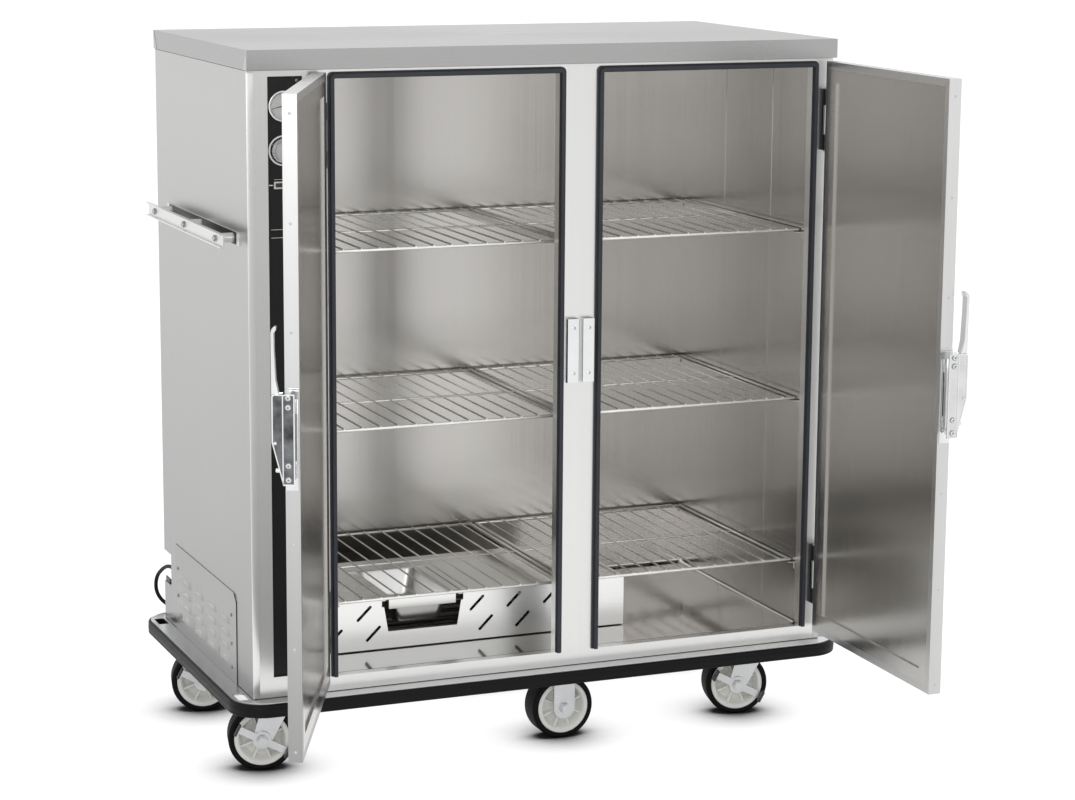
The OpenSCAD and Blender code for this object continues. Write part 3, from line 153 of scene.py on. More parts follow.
def brushed(name, colour, roughness, grain, streak=0.025, cloud=0.04, anisotropy=0.3, low=1.0):
    """Brushed sheet; grain is the axis that the brush marks run along, low the painted shade near the floor,
    where the colour is darkened towards the bottom.
    """
    tree, shader = blank(name, colour, roughness, 1.0, Anisotropic=anisotropy)
    stretch = [1, 1, 1]
    stretch[grain] = 0.004
    fine = noise(tree, 260, 2, stretch)
    wide = noise(tree, 40, 2, stretch, (3, 5, 7))
    smudge = noise(tree, 2.6, 4, offset=(11, 2, 5))
    mixed = add(tree, "ShaderNodeMath", {0: fine, 1: wide}, operation="ADD").outputs[0]
    halved = add(tree, "ShaderNodeMath", {0: mixed, 1: 0.5}, operation="MULTIPLY").outputs[0]
    streaked = tint(tree, spread(tree, halved, 0, 1), scaled(colour, 1 - streak), scaled(colour, 1 + streak))
    clouded = tint(tree, spread(tree, smudge, 0, 1), (1 - cloud,) * 3, (1, 1, 1))
    product = add(tree, "ShaderNodeMix", {0: 1.0, 6: streaked, 7: clouded},
                  data_type="RGBA", blend_type="MULTIPLY").outputs[2]
    # Painted shade: the colour is scaled from low at the lower height up to full at the upper one
    place = add(tree, "ShaderNodeTexCoord").outputs["Object"]
    height = add(tree, "ShaderNodeSeparateXYZ", {0: place}).outputs[2]
    painted_floor_shade = tint(tree, spread(tree, height, 0, 1, PAINTED_SHADE_LOW_Z, PAINTED_SHADE_HIGH_Z), (low,) * 3, (1, 1, 1))
    shaded = add(tree, "ShaderNodeMix", {0: 1.0, 6: product, 7: painted_floor_shade},
                 data_type="RGBA", blend_type="MULTIPLY").outputs[2]
    tree.links.new(shaded, shader.inputs["Base Color"])
    rough = spread(tree, add(tree, "ShaderNodeMath", {0: halved, 1: smudge}, operation="ADD").outputs[0],
                   roughness - 0.03, roughness + 0.04, 0.7, 1.3)
    tree.links.new(rough, shader.inputs["Roughness"])
    bump(tree, shader, halved, 0.04, 0.0002)


def cast(name, colour, roughness, metallic, grain_scale=220, strength=0.15, distance=0.0002,
         cloud=0.08, **constants):
    """Plated, painted or moulded surface with fine unevenness and soft blotches."""
    tree, shader = blank(name, colour, roughness, metallic, **constants)
    fine = noise(tree, grain_scale, 4)
    blotch = noise(tree, grain_scale / 14, 3, offset=(4, 9, 1))
    blotched = tint(tree, spread(tree, blotch, 0, 1), scaled(colour, 1 - cloud), scaled(colour, 1 + cloud))
    tree.links.new(blotched, shader.inputs["Base Color"])
    tree.links.new(spread(tree, fine, max(0.02, roughness - 0.06), roughness + 0.08),
                   shader.inputs["Roughness"])
    bump(tree, shader, fine, strength, distance)


# Each call adds one material to the table under its name
brushed("steel_side", (0.505, 0.505, 0.5), 0.3, ALONG_Z, low=0.6)
# Painted shade: the service panel's steel is given a darker colour than the sides, like their shaded bottom
brushed("steel_service", (0.34, 0.34, 0.335), 0.3, ALONG_Y, 0.04, 0.14)
# Painted shade: the top cap's steel is given a darker colour than the sides
brushed("steel_cap_painted_shade", (0.39, 0.39, 0.388), 0.28, ALONG_X)
# Painted light: the face frame's steel is given a lighter colour than the sides, for the light on its front
# faces
brushed("steel_post_painted_light", (0.72, 0.72, 0.71), 0.3, ALONG_Z)
# Painted light and shade: the door shells are one steel, painted lighter on the left door than on the right,
# and darker towards the floor, most on the left
brushed("steel_left_door", (0.78, 0.78, 0.775), 0.3, ALONG_Z, low=0.42)
brushed("steel_right_door", (0.66, 0.66, 0.655), 0.3, ALONG_Z, low=0.85)
brushed("steel_liner", (0.53, 0.515, 0.495), 0.22, ALONG_Z)
brushed("steel_inner", (0.53, 0.515, 0.495), 0.2, ALONG_Z, cloud=0.08)
brushed("steel_floor", (0.53, 0.525, 0.515), 0.09, ALONG_X, 0.015, 0.05, 0.1)
brushed("steel_cover", (0.84, 0.84, 0.83), 0.28, ALONG_X)
# Painted highlight: lighter steel for the strips down the front corners
brushed("steel_painted_highlight", (0.8, 0.8, 0.79), 0.3, ALONG_Z)
brushed("steel_bright", (0.74, 0.74, 0.73), 0.34, ALONG_Y)
brushed("aluminium", (0.7, 0.705, 0.71), 0.32, ALONG_X, anisotropy=0.2)
cast("zinc", (0.5, 0.505, 0.51), 0.3, 1.0)
cast("chrome", (0.72, 0.725, 0.73), 0.16, 1.0, 400, 0.05, cloud=0.03)
# Painted shade and light: the latch's sunk cells are one chrome, dark with strong blotches as painted
# reflection on the left door and pale on the right
cast("latch_web_left", (0.12, 0.125, 0.13), 0.2, 1.0, 560, 0.12, cloud=0.6)
cast("latch_web_right", (0.64, 0.64, 0.64), 0.26, 1.0, 560, 0.12, cloud=0.06)
cast("bolt_steel", (0.26, 0.26, 0.265), 0.3, 1.0, 300, 0.1)
cast("wire_chrome", (0.9, 0.89, 0.86), 0.34, 0.7, 500, 0.08, cloud=0.05)
cast("rubber", (0.042, 0.046, 0.055), 0.55, 0.0, 350, 0.3, Specular_IOR_Level=0.3)
cast("vinyl", (0.006, 0.006, 0.007), 0.45, 0.0, 260, 0.2, Specular_IOR_Level=0.14)
cast("tyre", (0.004, 0.004, 0.0045), 0.6, 0.0, 300, 0.35, Specular_IOR_Level=0.1)
cast("hub", (0.9, 0.895, 0.86), 0.42, 0.0, 180, 0.2, cloud=0.05)
# Black paint of the hinge leaves; also the painted shade behind the handles
cast("black_paint_and_shade", (0.012, 0.012, 0.013), 0.36, 0.0, 300, 0.2, Specular_IOR_Level=0.3)
cast("panel_black", (0.014, 0.013, 0.013), 0.42, 0.0, 500, 0.15, Specular_IOR_Level=0.25)
cast("enamel", (0.86, 0.86, 0.83), 0.35, 0.0, 300, 0.05, cloud=0.02)
cast("ink", (0.012, 0.012, 0.012), 0.5, 0.0)
cast("white_plastic", (0.8, 0.8, 0.76), 0.3, 0.0, 300, 0.08, cloud=0.02)
cast("black_plastic", (0.015, 0.015, 0.016), 0.3, 0.0, 300, 0.1)
cast("sheath", (0.007, 0.007, 0.008), 0.5, 0.0, 600, 0.2, Specular_IOR_Level=0.14)
cast("burnt_steel", (0.16, 0.13, 0.11), 0.45, 0.7, 250, 0.3)
# Dark colour for painted shade in the joints and the louvre openings
cast("gap_shade", (0.05, 0.05, 0.052), 0.6, 0.0, 400, 0.3, Specular_IOR_Level=0.2)
cast("blade", (0.72, 0.62, 0.38), 0.22, 1.0, 300, 0.06, cloud=0.03)
cast("bracket", (0.05, 0.052, 0.055), 0.4, 0.5)


def lens_glass():
    tree, shader = blank("lens_glass", (0.97, 0.98, 0.98), 0.03, 0.0, Transmission_Weight=1.0, IOR=1.45)
    fine = noise(tree, 60, 2)
    tree.links.new(spread(tree, fine, 0.02, 0.05), shader.inputs["Roughness"])


lens_glass()

NODE_MATERIALS = {
    "base_frame": "aluminium", "bumper": "vinyl", "left_side_panel": "steel_side",
    "right_side_panel": "steel_side", "back_panel": "steel_side", "top_cap": "steel_cap_painted_shade",
    "face_frame": "steel_post_painted_light", "interior_liner": "steel_inner", "service_panel": "steel_side",
    "push_handles": "steel_bright", "door_gaskets": "rubber", "strike_plates": "chrome",
    "hinge_frame_leaves": "black_paint_and_shade", "hinge_pins": "zinc", "control_panel": "panel_black",
    "thermometer_case": "chrome", "thermometer_dial": "enamel", "thermometer_needle": "ink",
    "thermometer_lens": "lens_glass", "thermostat_scale": "panel_black", "thermostat_knob": "zinc",
    "switch_frame": "white_plastic", "power_rocker": "black_plastic", "shelf_supports": "steel_inner",
    "top_shelves": "wire_chrome", "middle_shelves": "wire_chrome", "lower_shelves": "wire_chrome",
    "heater_cover": "steel_cover", "heating_element": "burnt_steel", "water_pan": "steel_cover",
    "panel_screws": "zinc", "caster_mounts": "zinc", "rigid_forks": "zinc",
    "cord_gland": "black_plastic", "cord_clip": "bracket", "cord": "sheath", "cord_coil": "sheath",
    "plug": "black_plastic",
}
for side in ("left", "right"):
    NODE_MATERIALS[side + "_door_shell"] = "steel_" + side + "_door"
    NODE_MATERIALS[side + "_door_liner"] = "steel_liner"
    NODE_MATERIALS[side + "_latch_body"] = "chrome"
    NODE_MATERIALS[side + "_latch_lever"] = "chrome"
for corner in CORNERS:
    NODE_MATERIALS[corner + "_fork"] = "zinc"
    NODE_MATERIALS[corner + "_brake"] = "zinc"
    NODE_MATERIALS[corner + "_wheel"] = "hub"
for wheel in ("front_rigid_wheel", "rear_rigid_wheel"):
    NODE_MATERIALS[wheel] = "hub"

for name, key in NODE_MATERIALS.items():
    for material_slot in nodes[name].material_slots:
        material_slot.material = MATERIALS[key]


# Shapes

def placed(bm, name, body, material, transform=Matrix.Identity(4), smooth=35, replaces=()):
    """Makes a piece in the frame from a mesh in millimetres and lets it ride on a body."""
    mesh = bpy.data.meshes.new(name)
    bm.transform(Matrix.Scale(MM, 4) @ transform)
    bmesh.ops.recalc_face_normals(bm, faces=bm.faces)
    bm.to_mesh(mesh)
    bm.free()
    mesh.materials.append(MATERIALS[material])
    mesh.shade_smooth()
    mesh.set_sharp_from_angle(angle=math.radians(smooth))
    piece = bpy.data.objects.new(name, mesh)
    bpy.context.scene.collection.objects.link(piece)
    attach(piece, body)
    if replaces:
        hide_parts(*replaces)
    return piece


def lathe(bm, profile, segments=64, transform=Matrix.Identity(4)):
    """Revolves (radius, height) points about Z; a closed outline, or one that ends on the axis."""
    rings = []
    for k in range(segments):
        angle = 2 * math.pi * k / segments
        rings.append([bm.verts.new(transform @ Vector((r * math.cos(angle), r * math.sin(angle), h)))
                      for r, h in profile])
    closed = profile[0][0] > 0 and profile[-1][0] > 0
    for k in range(segments):
        a, b = rings[k], rings[(k + 1) % segments]
        count = len(profile) if closed else len(profile) - 1
        for i in range(count):
            j = (i + 1) % len(profile)
            bm.faces.new((a[i], b[i], b[j], a[j]))
    bmesh.ops.remove_doubles(bm, verts=bm.verts, dist=0.001)


def box(bm, low, high, bevel=0.0, transform=Matrix.Identity(4)):
    """Box between two opposite corners."""
    made = bmesh.ops.create_cube(bm, size=1)["verts"]
    low, high = Vector(low), Vector(high)
    for vert in made:
        vert.co = Vector(((high - low)[i] * (vert.co[i] + 0.5) + low[i] for i in range(3)))
        vert.co = transform @ vert.co
    if bevel:
        edges = list({edge for vert in made for edge in vert.link_edges})
        bmesh.ops.bevel(bm, geom=edges, offset=bevel, segments=2, affect="EDGES", profile=0.5)


def strip_faces(bm, first, second):
    """Quads between two open rows of vertices."""
    for quad in zip(first, first[1:], second[1:], second):
        bm.faces.new(quad)


def ring_faces(bm, first, second):
    """Quads between two closed rows of vertices."""
    strip_faces(bm, first + first[:1], second + second[:1])


def prism(bm, outline, h0, h1, bevel=0.0, segments=2):
    """Extrudes an outline in X and Y from height h0 to h1."""
    low = [bm.verts.new((x, y, h0)) for x, y in outline]
    high = [bm.verts.new((x, y, h1)) for x, y in outline]
    ring_faces(bm, low, high)
    caps = [bm.faces.new(low[::-1]), bm.faces.new(high)]
    if bevel:
        edges = list({edge for face in caps for edge in face.edges})
        bmesh.ops.bevel(bm, geom=edges, offset=bevel, segments=segments, affect="EDGES", profile=0.5)


def hollow_prism(bm, outer, inner, h0, h1):
    """Extrudes the band between two outlines with as many points."""
    rows = [[bm.verts.new((x, y, h)) for x, y in line] for line in (outer, inner) for h in (h0, h1)]
    outer_low, outer_high, inner_low, inner_high = rows
    ring_faces(bm, outer_low, outer_high)
    ring_faces(bm, inner_low, inner_high)
    ring_faces(bm, outer_low, inner_low)
    ring_faces(bm, outer_high, inner_high)


def inset(outline, distance):
    """Moves each side of a convex outline inwards."""
    centre = sum((Vector(p) for p in outline), Vector((0, 0))) / len(outline)
    count = len(outline)
    lines = []
    for i in range(count):
        a, b = Vector(outline[i]), Vector(outline[(i + 1) % count])
        normal = Vector((a.y - b.y, b.x - a.x)).normalized()
        if normal.dot(centre - a) < 0:
            normal = -normal
        lines.append((a + normal * distance, b - a))
    points = []
    for i in range(count):
        (p, u), (q, v) = lines[i - 1], lines[i]
        t = (q - p).cross(v) / u.cross(v)
        points.append(tuple(p + u * t))
    return points


def arc(cx, cy, r, start, end, steps=6):
    """Points of an arc, with angles in degrees."""
    return [(cx + r * math.cos(math.radians(start + (end - start) * k / steps)),
             cy + r * math.sin(math.radians(start + (end - start) * k / steps))) for k in range(steps + 1)]


def rod(bm, start, end, radius, sides=12, round_end=0.0):
    """Round bar between two points, with rounded rims."""
    start, end = Vector(start), Vector(end)
    length = (end - start).length
    rim = round_end or radius * 0.3
    profile = [(0, 0), (radius - rim, 0), (radius, rim),
               (radius, length - rim), (radius - rim, length), (0, length)]
    lathe(bm, profile, sides, axis_along(*start, end - start))


def screw_head(bm, radius, height, transform):
    """Domed head with a cross recess, standing on Z = 0."""
    rings, sides = 9, 32
    half_slot, slot_reach, slot_depth = radius * 0.13, radius * 0.62, height * 0.45
    angles = [2 * math.pi * k / sides for k in range(sides)]
    rows = []
    for i in range(1, rings + 1):
        r = radius * i / rings
        dome = height * (1 - 0.55 * (r / radius) ** 3)
        row = []
        for angle in angles:
            x, y = r * math.cos(angle), r * math.sin(angle)
            inside = min(abs(x), abs(y)) < half_slot and r < slot_reach
            row.append(bm.verts.new(transform @ Vector((x, y, dome - (slot_depth if inside else 0)))))
        rows.append(row)
    centre = bm.verts.new(transform @ Vector((0, 0, height - slot_depth)))
    foot = [bm.verts.new(transform @ Vector((radius * math.cos(a), radius * math.sin(a), 0))) for a in angles]
    for k in range(sides):
        bm.faces.new((centre, rows[0][k], rows[0][(k + 1) % sides]))
    for first, second in zip(rows, rows[1:] + [foot]):
        ring_faces(bm, first, second)
    bm.faces.new(foot)


def axis_along(x, y, z, direction):
    """Places what is drawn about Z so that its axis points along a direction."""
    turn = Vector((0, 0, 1)).rotation_difference(Vector(direction)).to_matrix().to_4x4()
    return Matrix.Translation((x, y, z)) @ turn


def join(bm, part):
    """Adds one mesh to another and frees it."""
    mesh = bpy.data.meshes.new("part")
    part.to_mesh(mesh)
    part.free()
    bm.from_mesh(mesh)
    bpy.data.meshes.remove(mesh)


def box_each_side(bm, x0, x1, low, high, bevel):
    """A box on each side of the body, between two distances from its middle; low and high are (y, z)."""
    for side in (-1, 1):
        near, far = sorted((side * x0, side * x1))
        box(bm, (near, *low), (far, *high), bevel)


# Cord: from its strain relief over the bumper to a coil behind the cabinet

CORD_R = 4
CORD_ROUTE = [
    (-585, 298, 254), (-585, 314, 253), (-587, 340, 248), (-590, 366, 236), (-594, 387.5, 219),
    (-596, 396.5, 200), (-594, 398, 181), (-586.5, 393, 165), (-573.5, 384, 153.5),
    (-555, 376, 146), (-537, 371, 137), (-521, 369, 124), (-509, 370, 107),
    (-500, 371, 88), (-495, 373, 66), (-488, 376, 45), (-477, 380, 27),
    (-461, 386, 13), (-440, 392, 6), (-415, 397, 4.5), (-385, 400, 4.1),
]
COIL_AT = (-330, 459)
COIL_TURNS, COIL_MID_R, COIL_PITCH, COIL_LAYER, COIL_Z0 = 6, 46, 8.6, 8.6, 4.1
COIL_HALF_BAND = COIL_PITCH * COIL_TURNS / 4
COIL_TAIL = 24


def spline(points, per):
    """Catmull-Rom curve through the points."""
    points = [Vector(p) for p in points]
    last = len(points) - 1
    curve = []
    for i in range(last):
        a, b, c, d = points[max(i - 1, 0)], points[i], points[i + 1], points[min(i + 2, last)]
        for k in range(per):
            t = k / per
            curve.append(0.5 * (2 * b + (c - a) * t + (2 * a - 5 * b + 4 * c - d) * t * t
                                + (3 * b - a - 3 * c + d) * t * t * t))
    return curve + [points[-1]]


def coil_points(per_turn=32):
    """Turns that spiral in on the floor, climb, and spiral out again on top."""
    outer = COIL_MID_R + COIL_HALF_BAND
    points = []
    for i in range(COIL_TURNS * per_turn + 1):
        t = i / per_turn
        radius = outer - COIL_PITCH * min(t, COIL_TURNS - t)
        climb = min(max(2 * (t - COIL_TURNS / 2) + 0.5, 0), 1)
        height = COIL_Z0 + COIL_LAYER * (1 - math.cos(math.pi * climb)) / 2
        angle = 2 * math.pi * t
        points.append(Vector((COIL_AT[0] + radius * math.sin(angle),
                              COIL_AT[1] - radius * math.cos(angle), height)))
    return points


def cord_points():
    turns = coil_points()
    lead = 2 * CORD_R
    first = turns[0] - Vector((lead, 0, 0))
    free = spline(CORD_ROUTE + [tuple(first - Vector((lead, 0, 0)))], 6)
    return free + [first] + turns + [turns[-1] + Vector((COIL_TAIL, 0, 0))]


def make_cord():
    points = [p * MM for p in cord_points()]
    data = bpy.data.curves.new("power_cord", "CURVE")
    data.dimensions = "3D"
    data.bevel_depth = CORD_R * MM
    data.bevel_resolution = 5
    data.use_fill_caps = True
    line = data.splines.new("POLY")
    line.points.add(len(points) - 1)
    for point, place in zip(line.points, points):
        point.co = (*place, 1)
    data.materials.append(MATERIALS["sheath"])
    piece = bpy.data.objects.new("power_cord", data)
    bpy.context.scene.collection.objects.link(piece)
    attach(piece, "cabinet")
    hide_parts("cord", "cord_coil")
    make_plug()
    make_tie()


def make_plug():
    """Moulded plug with a ribbed sleeve, grip rings, two blades and a round earth pin."""
    end = coil_points()[-1] + Vector((COIL_TAIL, 0, 0))
    z = end.z
    bm = bmesh.new()
    sleeve = [(0, 0), (5.1, 0)]
    for k in range(5):
        sleeve += [(5.5, 1 + 4.6 * k), (5.5, 3.6 + 4.6 * k), (4.9, 4.2 + 4.6 * k), (4.9, 5 + 4.6 * k)]
    full = z - 0.05
    body = sleeve + [(5.5, 25.5), (8.2, 27), (full - 1.4, 30), (full, 34), (full, 43)]
    for k in range(3):
        ring = 43.8 + 4 * k
        body += [(full - 0.7, ring), (full - 0.7, ring + 1.4), (full, ring + 2.2), (full, ring + 3.2)]
    body += [(full, 60), (full - 1.2, 62), (0, 62)]
    lathe(bm, body, 40, axis_along(end.x, end.y, z, (1, 0, 0)))
    body_piece = placed(bm, "plug_body", "cabinet", "black_plastic", smooth=40, replaces=["plug"])
    bm = bmesh.new()
    for y in (-6.3, 6.3):
        box(bm, (end.x + 62, end.y + y - 0.75, z - 1), (end.x + 80, end.y + y + 0.75, z + 5.3), 0.4)
    rod(bm, (end.x + 62, end.y, z - 5.5), (end.x + 83, end.y, z - 5.5), 2.4, 20, 1.4)
    pins = placed(bm, "plug_pins", "cabinet", "blade", smooth=40)
    return [body_piece, pins]


def make_tie():
    """Flat band round the turns of the coil, with its buckle on top."""
    inner, outer = COIL_MID_R - COIL_HALF_BAND - 4.6, COIL_MID_R + COIL_HALF_BAND + 4.6
    top = COIL_Z0 + COIL_LAYER + 4.6
    bm = bmesh.new()
    loop = arc(outer - 3, top - 3, 3, 0, 90, 5) + arc(inner + 3, top - 3, 3, 90, 180, 5) \
        + arc(inner + 3, 3.05, 3, 180, 270, 5) + arc(outer - 3, 3.05, 3, 270, 360, 5)
    hollow_prism(bm, loop, inset(loop, 1.1), -3, 3)
    box(bm, ((inner + outer) / 2 - 4, top - 0.5, -4), ((inner + outer) / 2 + 4, top + 2.4, 4), 0.7)
    upright = Matrix(((1, 0, 0, 0), (0, 0, 1, 0), (0, 1, 0, 0), (0, 0, 0, 1)))
    turn = Matrix.Rotation(math.radians(-35), 4, "Z")
    return placed(bm, "coil_tie", "cabinet", "black_plastic",
                  Matrix.Translation((*COIL_AT, 0)) @ turn @ upright, 40)


make_cord()


# Wheels

TYRE_T = 11


def tyre_profile():
    """Closed outline of the tread: flat across the middle with round shoulders."""
    half, r = WHEEL_W / 2, 6
    shoulders = arc(WHEEL_R - r, r - half, r, -90, 0) + arc(WHEEL_R - r, half - r, r, 0, 90)
    return [(WHEEL_R - TYRE_T, 1 - half), *shoulders, (WHEEL_R - TYRE_T, half - 1)]


def hub_profile():
    """Closed outline of the hub: rim with a rolled lip, dished web and a boss round the axle."""
    half = WHEEL_W / 2
    rim = WHEEL_R - TYRE_T
    side = [(6.3, half + 2), (14, half + 2), (16, half), (17, 14), (20, 5), (36, 4), (40, 8),
            (42, half - 4), (43.5, half - 1.5), (45, half), (rim - 1.5, half), (rim, half - 1.5)]
    return side + [(r, -h) for r, h in reversed(side)]


def make_wheel(name, body, transform):
    bm = bmesh.new()
    lathe(bm, tyre_profile(), 96)
    placed(bm, name + "_tyre", body, "tyre", transform, 40)
    bm = bmesh.new()
    lathe(bm, hub_profile(), 96)
    for k in range(8):
        turn = Matrix.Rotation(math.radians(45 * k + 22), 4, "Z")
        box(bm, (15.5, -2.2, -18), (43, 2.2, 18), 0.8, turn)
    placed(bm, name + "_hub", body, "hub", transform, 40, replaces=[name])


def swivel_frame(k):
    x, y = SWIVELS[k]
    return Matrix.Translation((x, y, 0)) @ Matrix.Rotation(math.radians(-TURN), 4, "Z")


ALONG_AXLE = Matrix.Rotation(math.radians(90), 4, "X")
for k, corner in enumerate(CORNERS):
    hub_at = swivel_frame(k) @ Matrix.Translation((-TRAIL, 0, WHEEL_R)) @ ALONG_AXLE
    make_wheel(corner + "_wheel", corner + "_wheel", hub_at)
for y, wheel in zip(RIGID_YS, ("front_rigid_wheel", "rear_rigid_wheel")):
    make_wheel(wheel, wheel, Matrix.Translation((RIGID_X, y, WHEEL_R)) @ ALONG_AXLE)


# Bumper: a round-faced strip round the base

RAIL_X, RAIL_Y, RAIL_CORNER = 634, 351, 62
WEB_BOTTOM, BUMPER_H, BUMPER_T = 120, 25.5, 6


def rounded_loop(half_x, half_y, r, steps=14):
    """Outline of a rectangle with round corners, with the outward direction at each point."""
    loop = []
    for start, sx, sy in ((0, 1, 1), (90, -1, 1), (180, -1, -1), (270, 1, -1)):
        for k in range(steps + 1):
            angle = math.radians(start + 90 * k / steps)
            out = Vector((math.cos(angle), math.sin(angle), 0))
            loop.append((Vector((sx * (half_x - r), sy * (half_y - r), 0)) + out * r, out))
    return loop


def make_bumper():
    bm = bmesh.new()
    z0, z1 = WEB_BOTTOM, WEB_BOTTOM + BUMPER_H
    crown = BUMPER_T - 0.4
    bend = [math.radians(a) for a in (25, 50, 75)]
    edge = [(0.3, 0), (2.5, 0), *[(crown * (0.62 + 0.38 * math.sin(a)), 4 - 4 * math.cos(a)) for a in bend],
            (crown, 5), (crown - 0.5, 6), (crown, 7)]
    profile = [*[(d, z0 + h) for d, h in edge], (BUMPER_T, z0 + 12.7), *[(d, z1 - h) for d, h in edge[::-1]]]
    rows = [[bm.verts.new(place + out * d + Vector((0, 0, z))) for d, z in profile]
            for place, out in rounded_loop(RAIL_X, RAIL_Y, RAIL_CORNER)]
    for first, second in zip(rows, rows[1:] + rows[:1]):
        ring_faces(bm, first, second)
    placed(bm, "bumper_strip", "cabinet", "vinyl", smooth=50, replaces=["bumper"])


make_bumper()


# Wire shelves

SHELF_ZS = {"lower_shelves": 307, "middle_shelves": 641, "top_shelves": 982}
SHELF_Y0, SHELF_Y1 = -277, 241
SHELF_U0, SHELF_U1 = 4, 490.5
WIRE_INSET, WIRE_COUNT = 27, 13
SHELF_RAIL_R, WIRE_R = 3, 1.75


def make_shelves(node, z):
    """A pair of shelves: two rails, a bar between them, two end bars and the wires on top."""
    middle = (SHELF_Y0 + SHELF_Y1) / 2
    bm = bmesh.new()
    for side in (-1, 1):
        u0, u1 = MID_X + side * SHELF_U0, MID_X + side * SHELF_U1
        for y in (SHELF_Y0, SHELF_Y1):
            rod(bm, (u0, y, z), (u1, y, z), SHELF_RAIL_R, 16)
        rod(bm, (u0, middle, z), (u1, middle, z), SHELF_RAIL_R - 1, 12)
        for u in (u0 + side * SHELF_RAIL_R, u1 - side * SHELF_RAIL_R):
            rod(bm, (u, SHELF_Y0, z), (u, SHELF_Y1, z), SHELF_RAIL_R - 0.4, 14)
        pitch = (SHELF_U1 - SHELF_U0 - 2 * WIRE_INSET) / (WIRE_COUNT - 1)
        for k in range(WIRE_COUNT):
            u = u0 + side * (WIRE_INSET + k * pitch)
            rod(bm, (u, SHELF_Y0 - 2, z + SHELF_RAIL_R), (u, SHELF_Y1 + 2, z + SHELF_RAIL_R), WIRE_R, 10)
    placed(bm, node + "_wires", "cabinet", "wire_chrome", smooth=50, replaces=[node])


for node, z in SHELF_ZS.items():
    make_shelves(node, z)


# Doors: what belongs to them is drawn on the right one, closed, with X from the middle post

SIDES = {"left": -1, "right": 1}


def at_doorway(side):
    """Moves a drawing to a doorway of the frame."""
    return Matrix.Translation((MID_X, 0, 0)) @ Matrix.Scale(side, 4, (1, 0, 0))


def on_door(side):
    """Moves a drawing onto a door and turns it with the door about its hinge."""
    hinge = Matrix.Translation((PIVOT_U, PIVOT_Y, 0))
    turn = hinge @ Matrix.Rotation(math.radians(DOOR_ANGLES[side]), 4, "Z") @ hinge.inverted()
    return at_doorway(side) @ turn


# Latches: sizes as on the model; an outline's x is the distance out of the door's face

LATCH_Z0, LATCH_Z1 = 664, 820
LATCH_U0 = 7
LATCH_IN, LATCH_OUT = 19, 20
LATCH_FACE_T, LATCH_DEPTH = 2.5, DOOR_U0 - LATCH_U0
LATCH_EDGE = 2.2
LATCH_WEB = (0.92, 1.2)
LATCH_SCREW_ZS = (LATCH_Z0 + 10, LATCH_Z0 + 34, LATCH_Z1 - 22, LATCH_Z1 - 6)
LATCH_SCREW_OUT, LATCH_SCREW_R = -8, 4.2
LATCH_BEND = 74
OUTWARDS = Matrix.Rotation(math.pi, 4, "X")
LEVER_Z = 805
LEVER_LEN = 131
LEVER_U0, LEVER_W = 10.5, 17
LEVER_OUT = 12


def from_door_face(u):
    """Turns (out, height, across) coordinates into the closed door's, with across growing from u."""
    return Matrix(((0, 0, 1, u), (-1, 0, 0, DOOR_OUT_Y), (0, 1, 0, 0), (0, 0, 0, 1)))


def latch_outline():
    """Side view of the housing: straight inside the door, slanted outwards up to the bend."""
    return [(-LATCH_IN, LATCH_Z0), (1, LATCH_Z0), (LATCH_OUT, LATCH_Z0 + LATCH_BEND),
            (LATCH_OUT, LATCH_Z1 - 3), (LATCH_OUT - 3, LATCH_Z1), (-LATCH_IN, LATCH_Z1)]


def ring_screw(bm, out, z, r, transform):
    """Round head with a hollow middle, on the latch's face."""
    place = transform @ Matrix.Translation((out, z, 0)) @ OUTWARDS
    head = [(0, -0.5), (r, -0.5), (r, 1.6), (r - 0.8, 2.4), (r * 0.5, 2.4), (r * 0.4, 1), (0, 1)]
    lathe(bm, head, 24, place)


def make_latch_webs(name, side, face):
    """The sunk cells of the latch's face, coloured per door as painted shade and light, with a darker ring
    under each screw.
    """
    low, top = LATCH_Z0 + LATCH_EDGE, LATCH_Z1 - LATCH_EDGE
    back, front = LATCH_EDGE - LATCH_IN, LATCH_OUT - 2.4
    straight_cell = [(back, low), (0.2, low), (0.2, top), (back, top)]
    slanted_cell = [(LATCH_EDGE, LATCH_Z0 + 7), (front, LATCH_Z0 + LATCH_BEND), (front, top - 2),
                    (front - 2, top), (LATCH_EDGE, top)]
    bm = bmesh.new()
    for cell in (straight_cell, slanted_cell):
        prism(bm, cell, *LATCH_WEB, 0.1, 1)
    bm.transform(face)
    placed(bm, name + "_latch_webs", name + "_door", "latch_web_" + name, on_door(side), 35)
    bm = bmesh.new()
    washer = [(LATCH_SCREW_R, 0), (5.4, 0), (5.4, 0.5), (LATCH_SCREW_R, 0.5)]
    for z in LATCH_SCREW_ZS:
        place = face @ Matrix.Translation((LATCH_SCREW_OUT, z, LATCH_WEB[0])) @ OUTWARDS
        lathe(bm, washer, 28, place)
        lathe(bm, [(0, 0), (2.0, 0), (1.9, 2.1), (0, 2.1)], 16, place)
    placed(bm, name + "_latch_washers", name + "_door", "bolt_steel", on_door(side), 35)


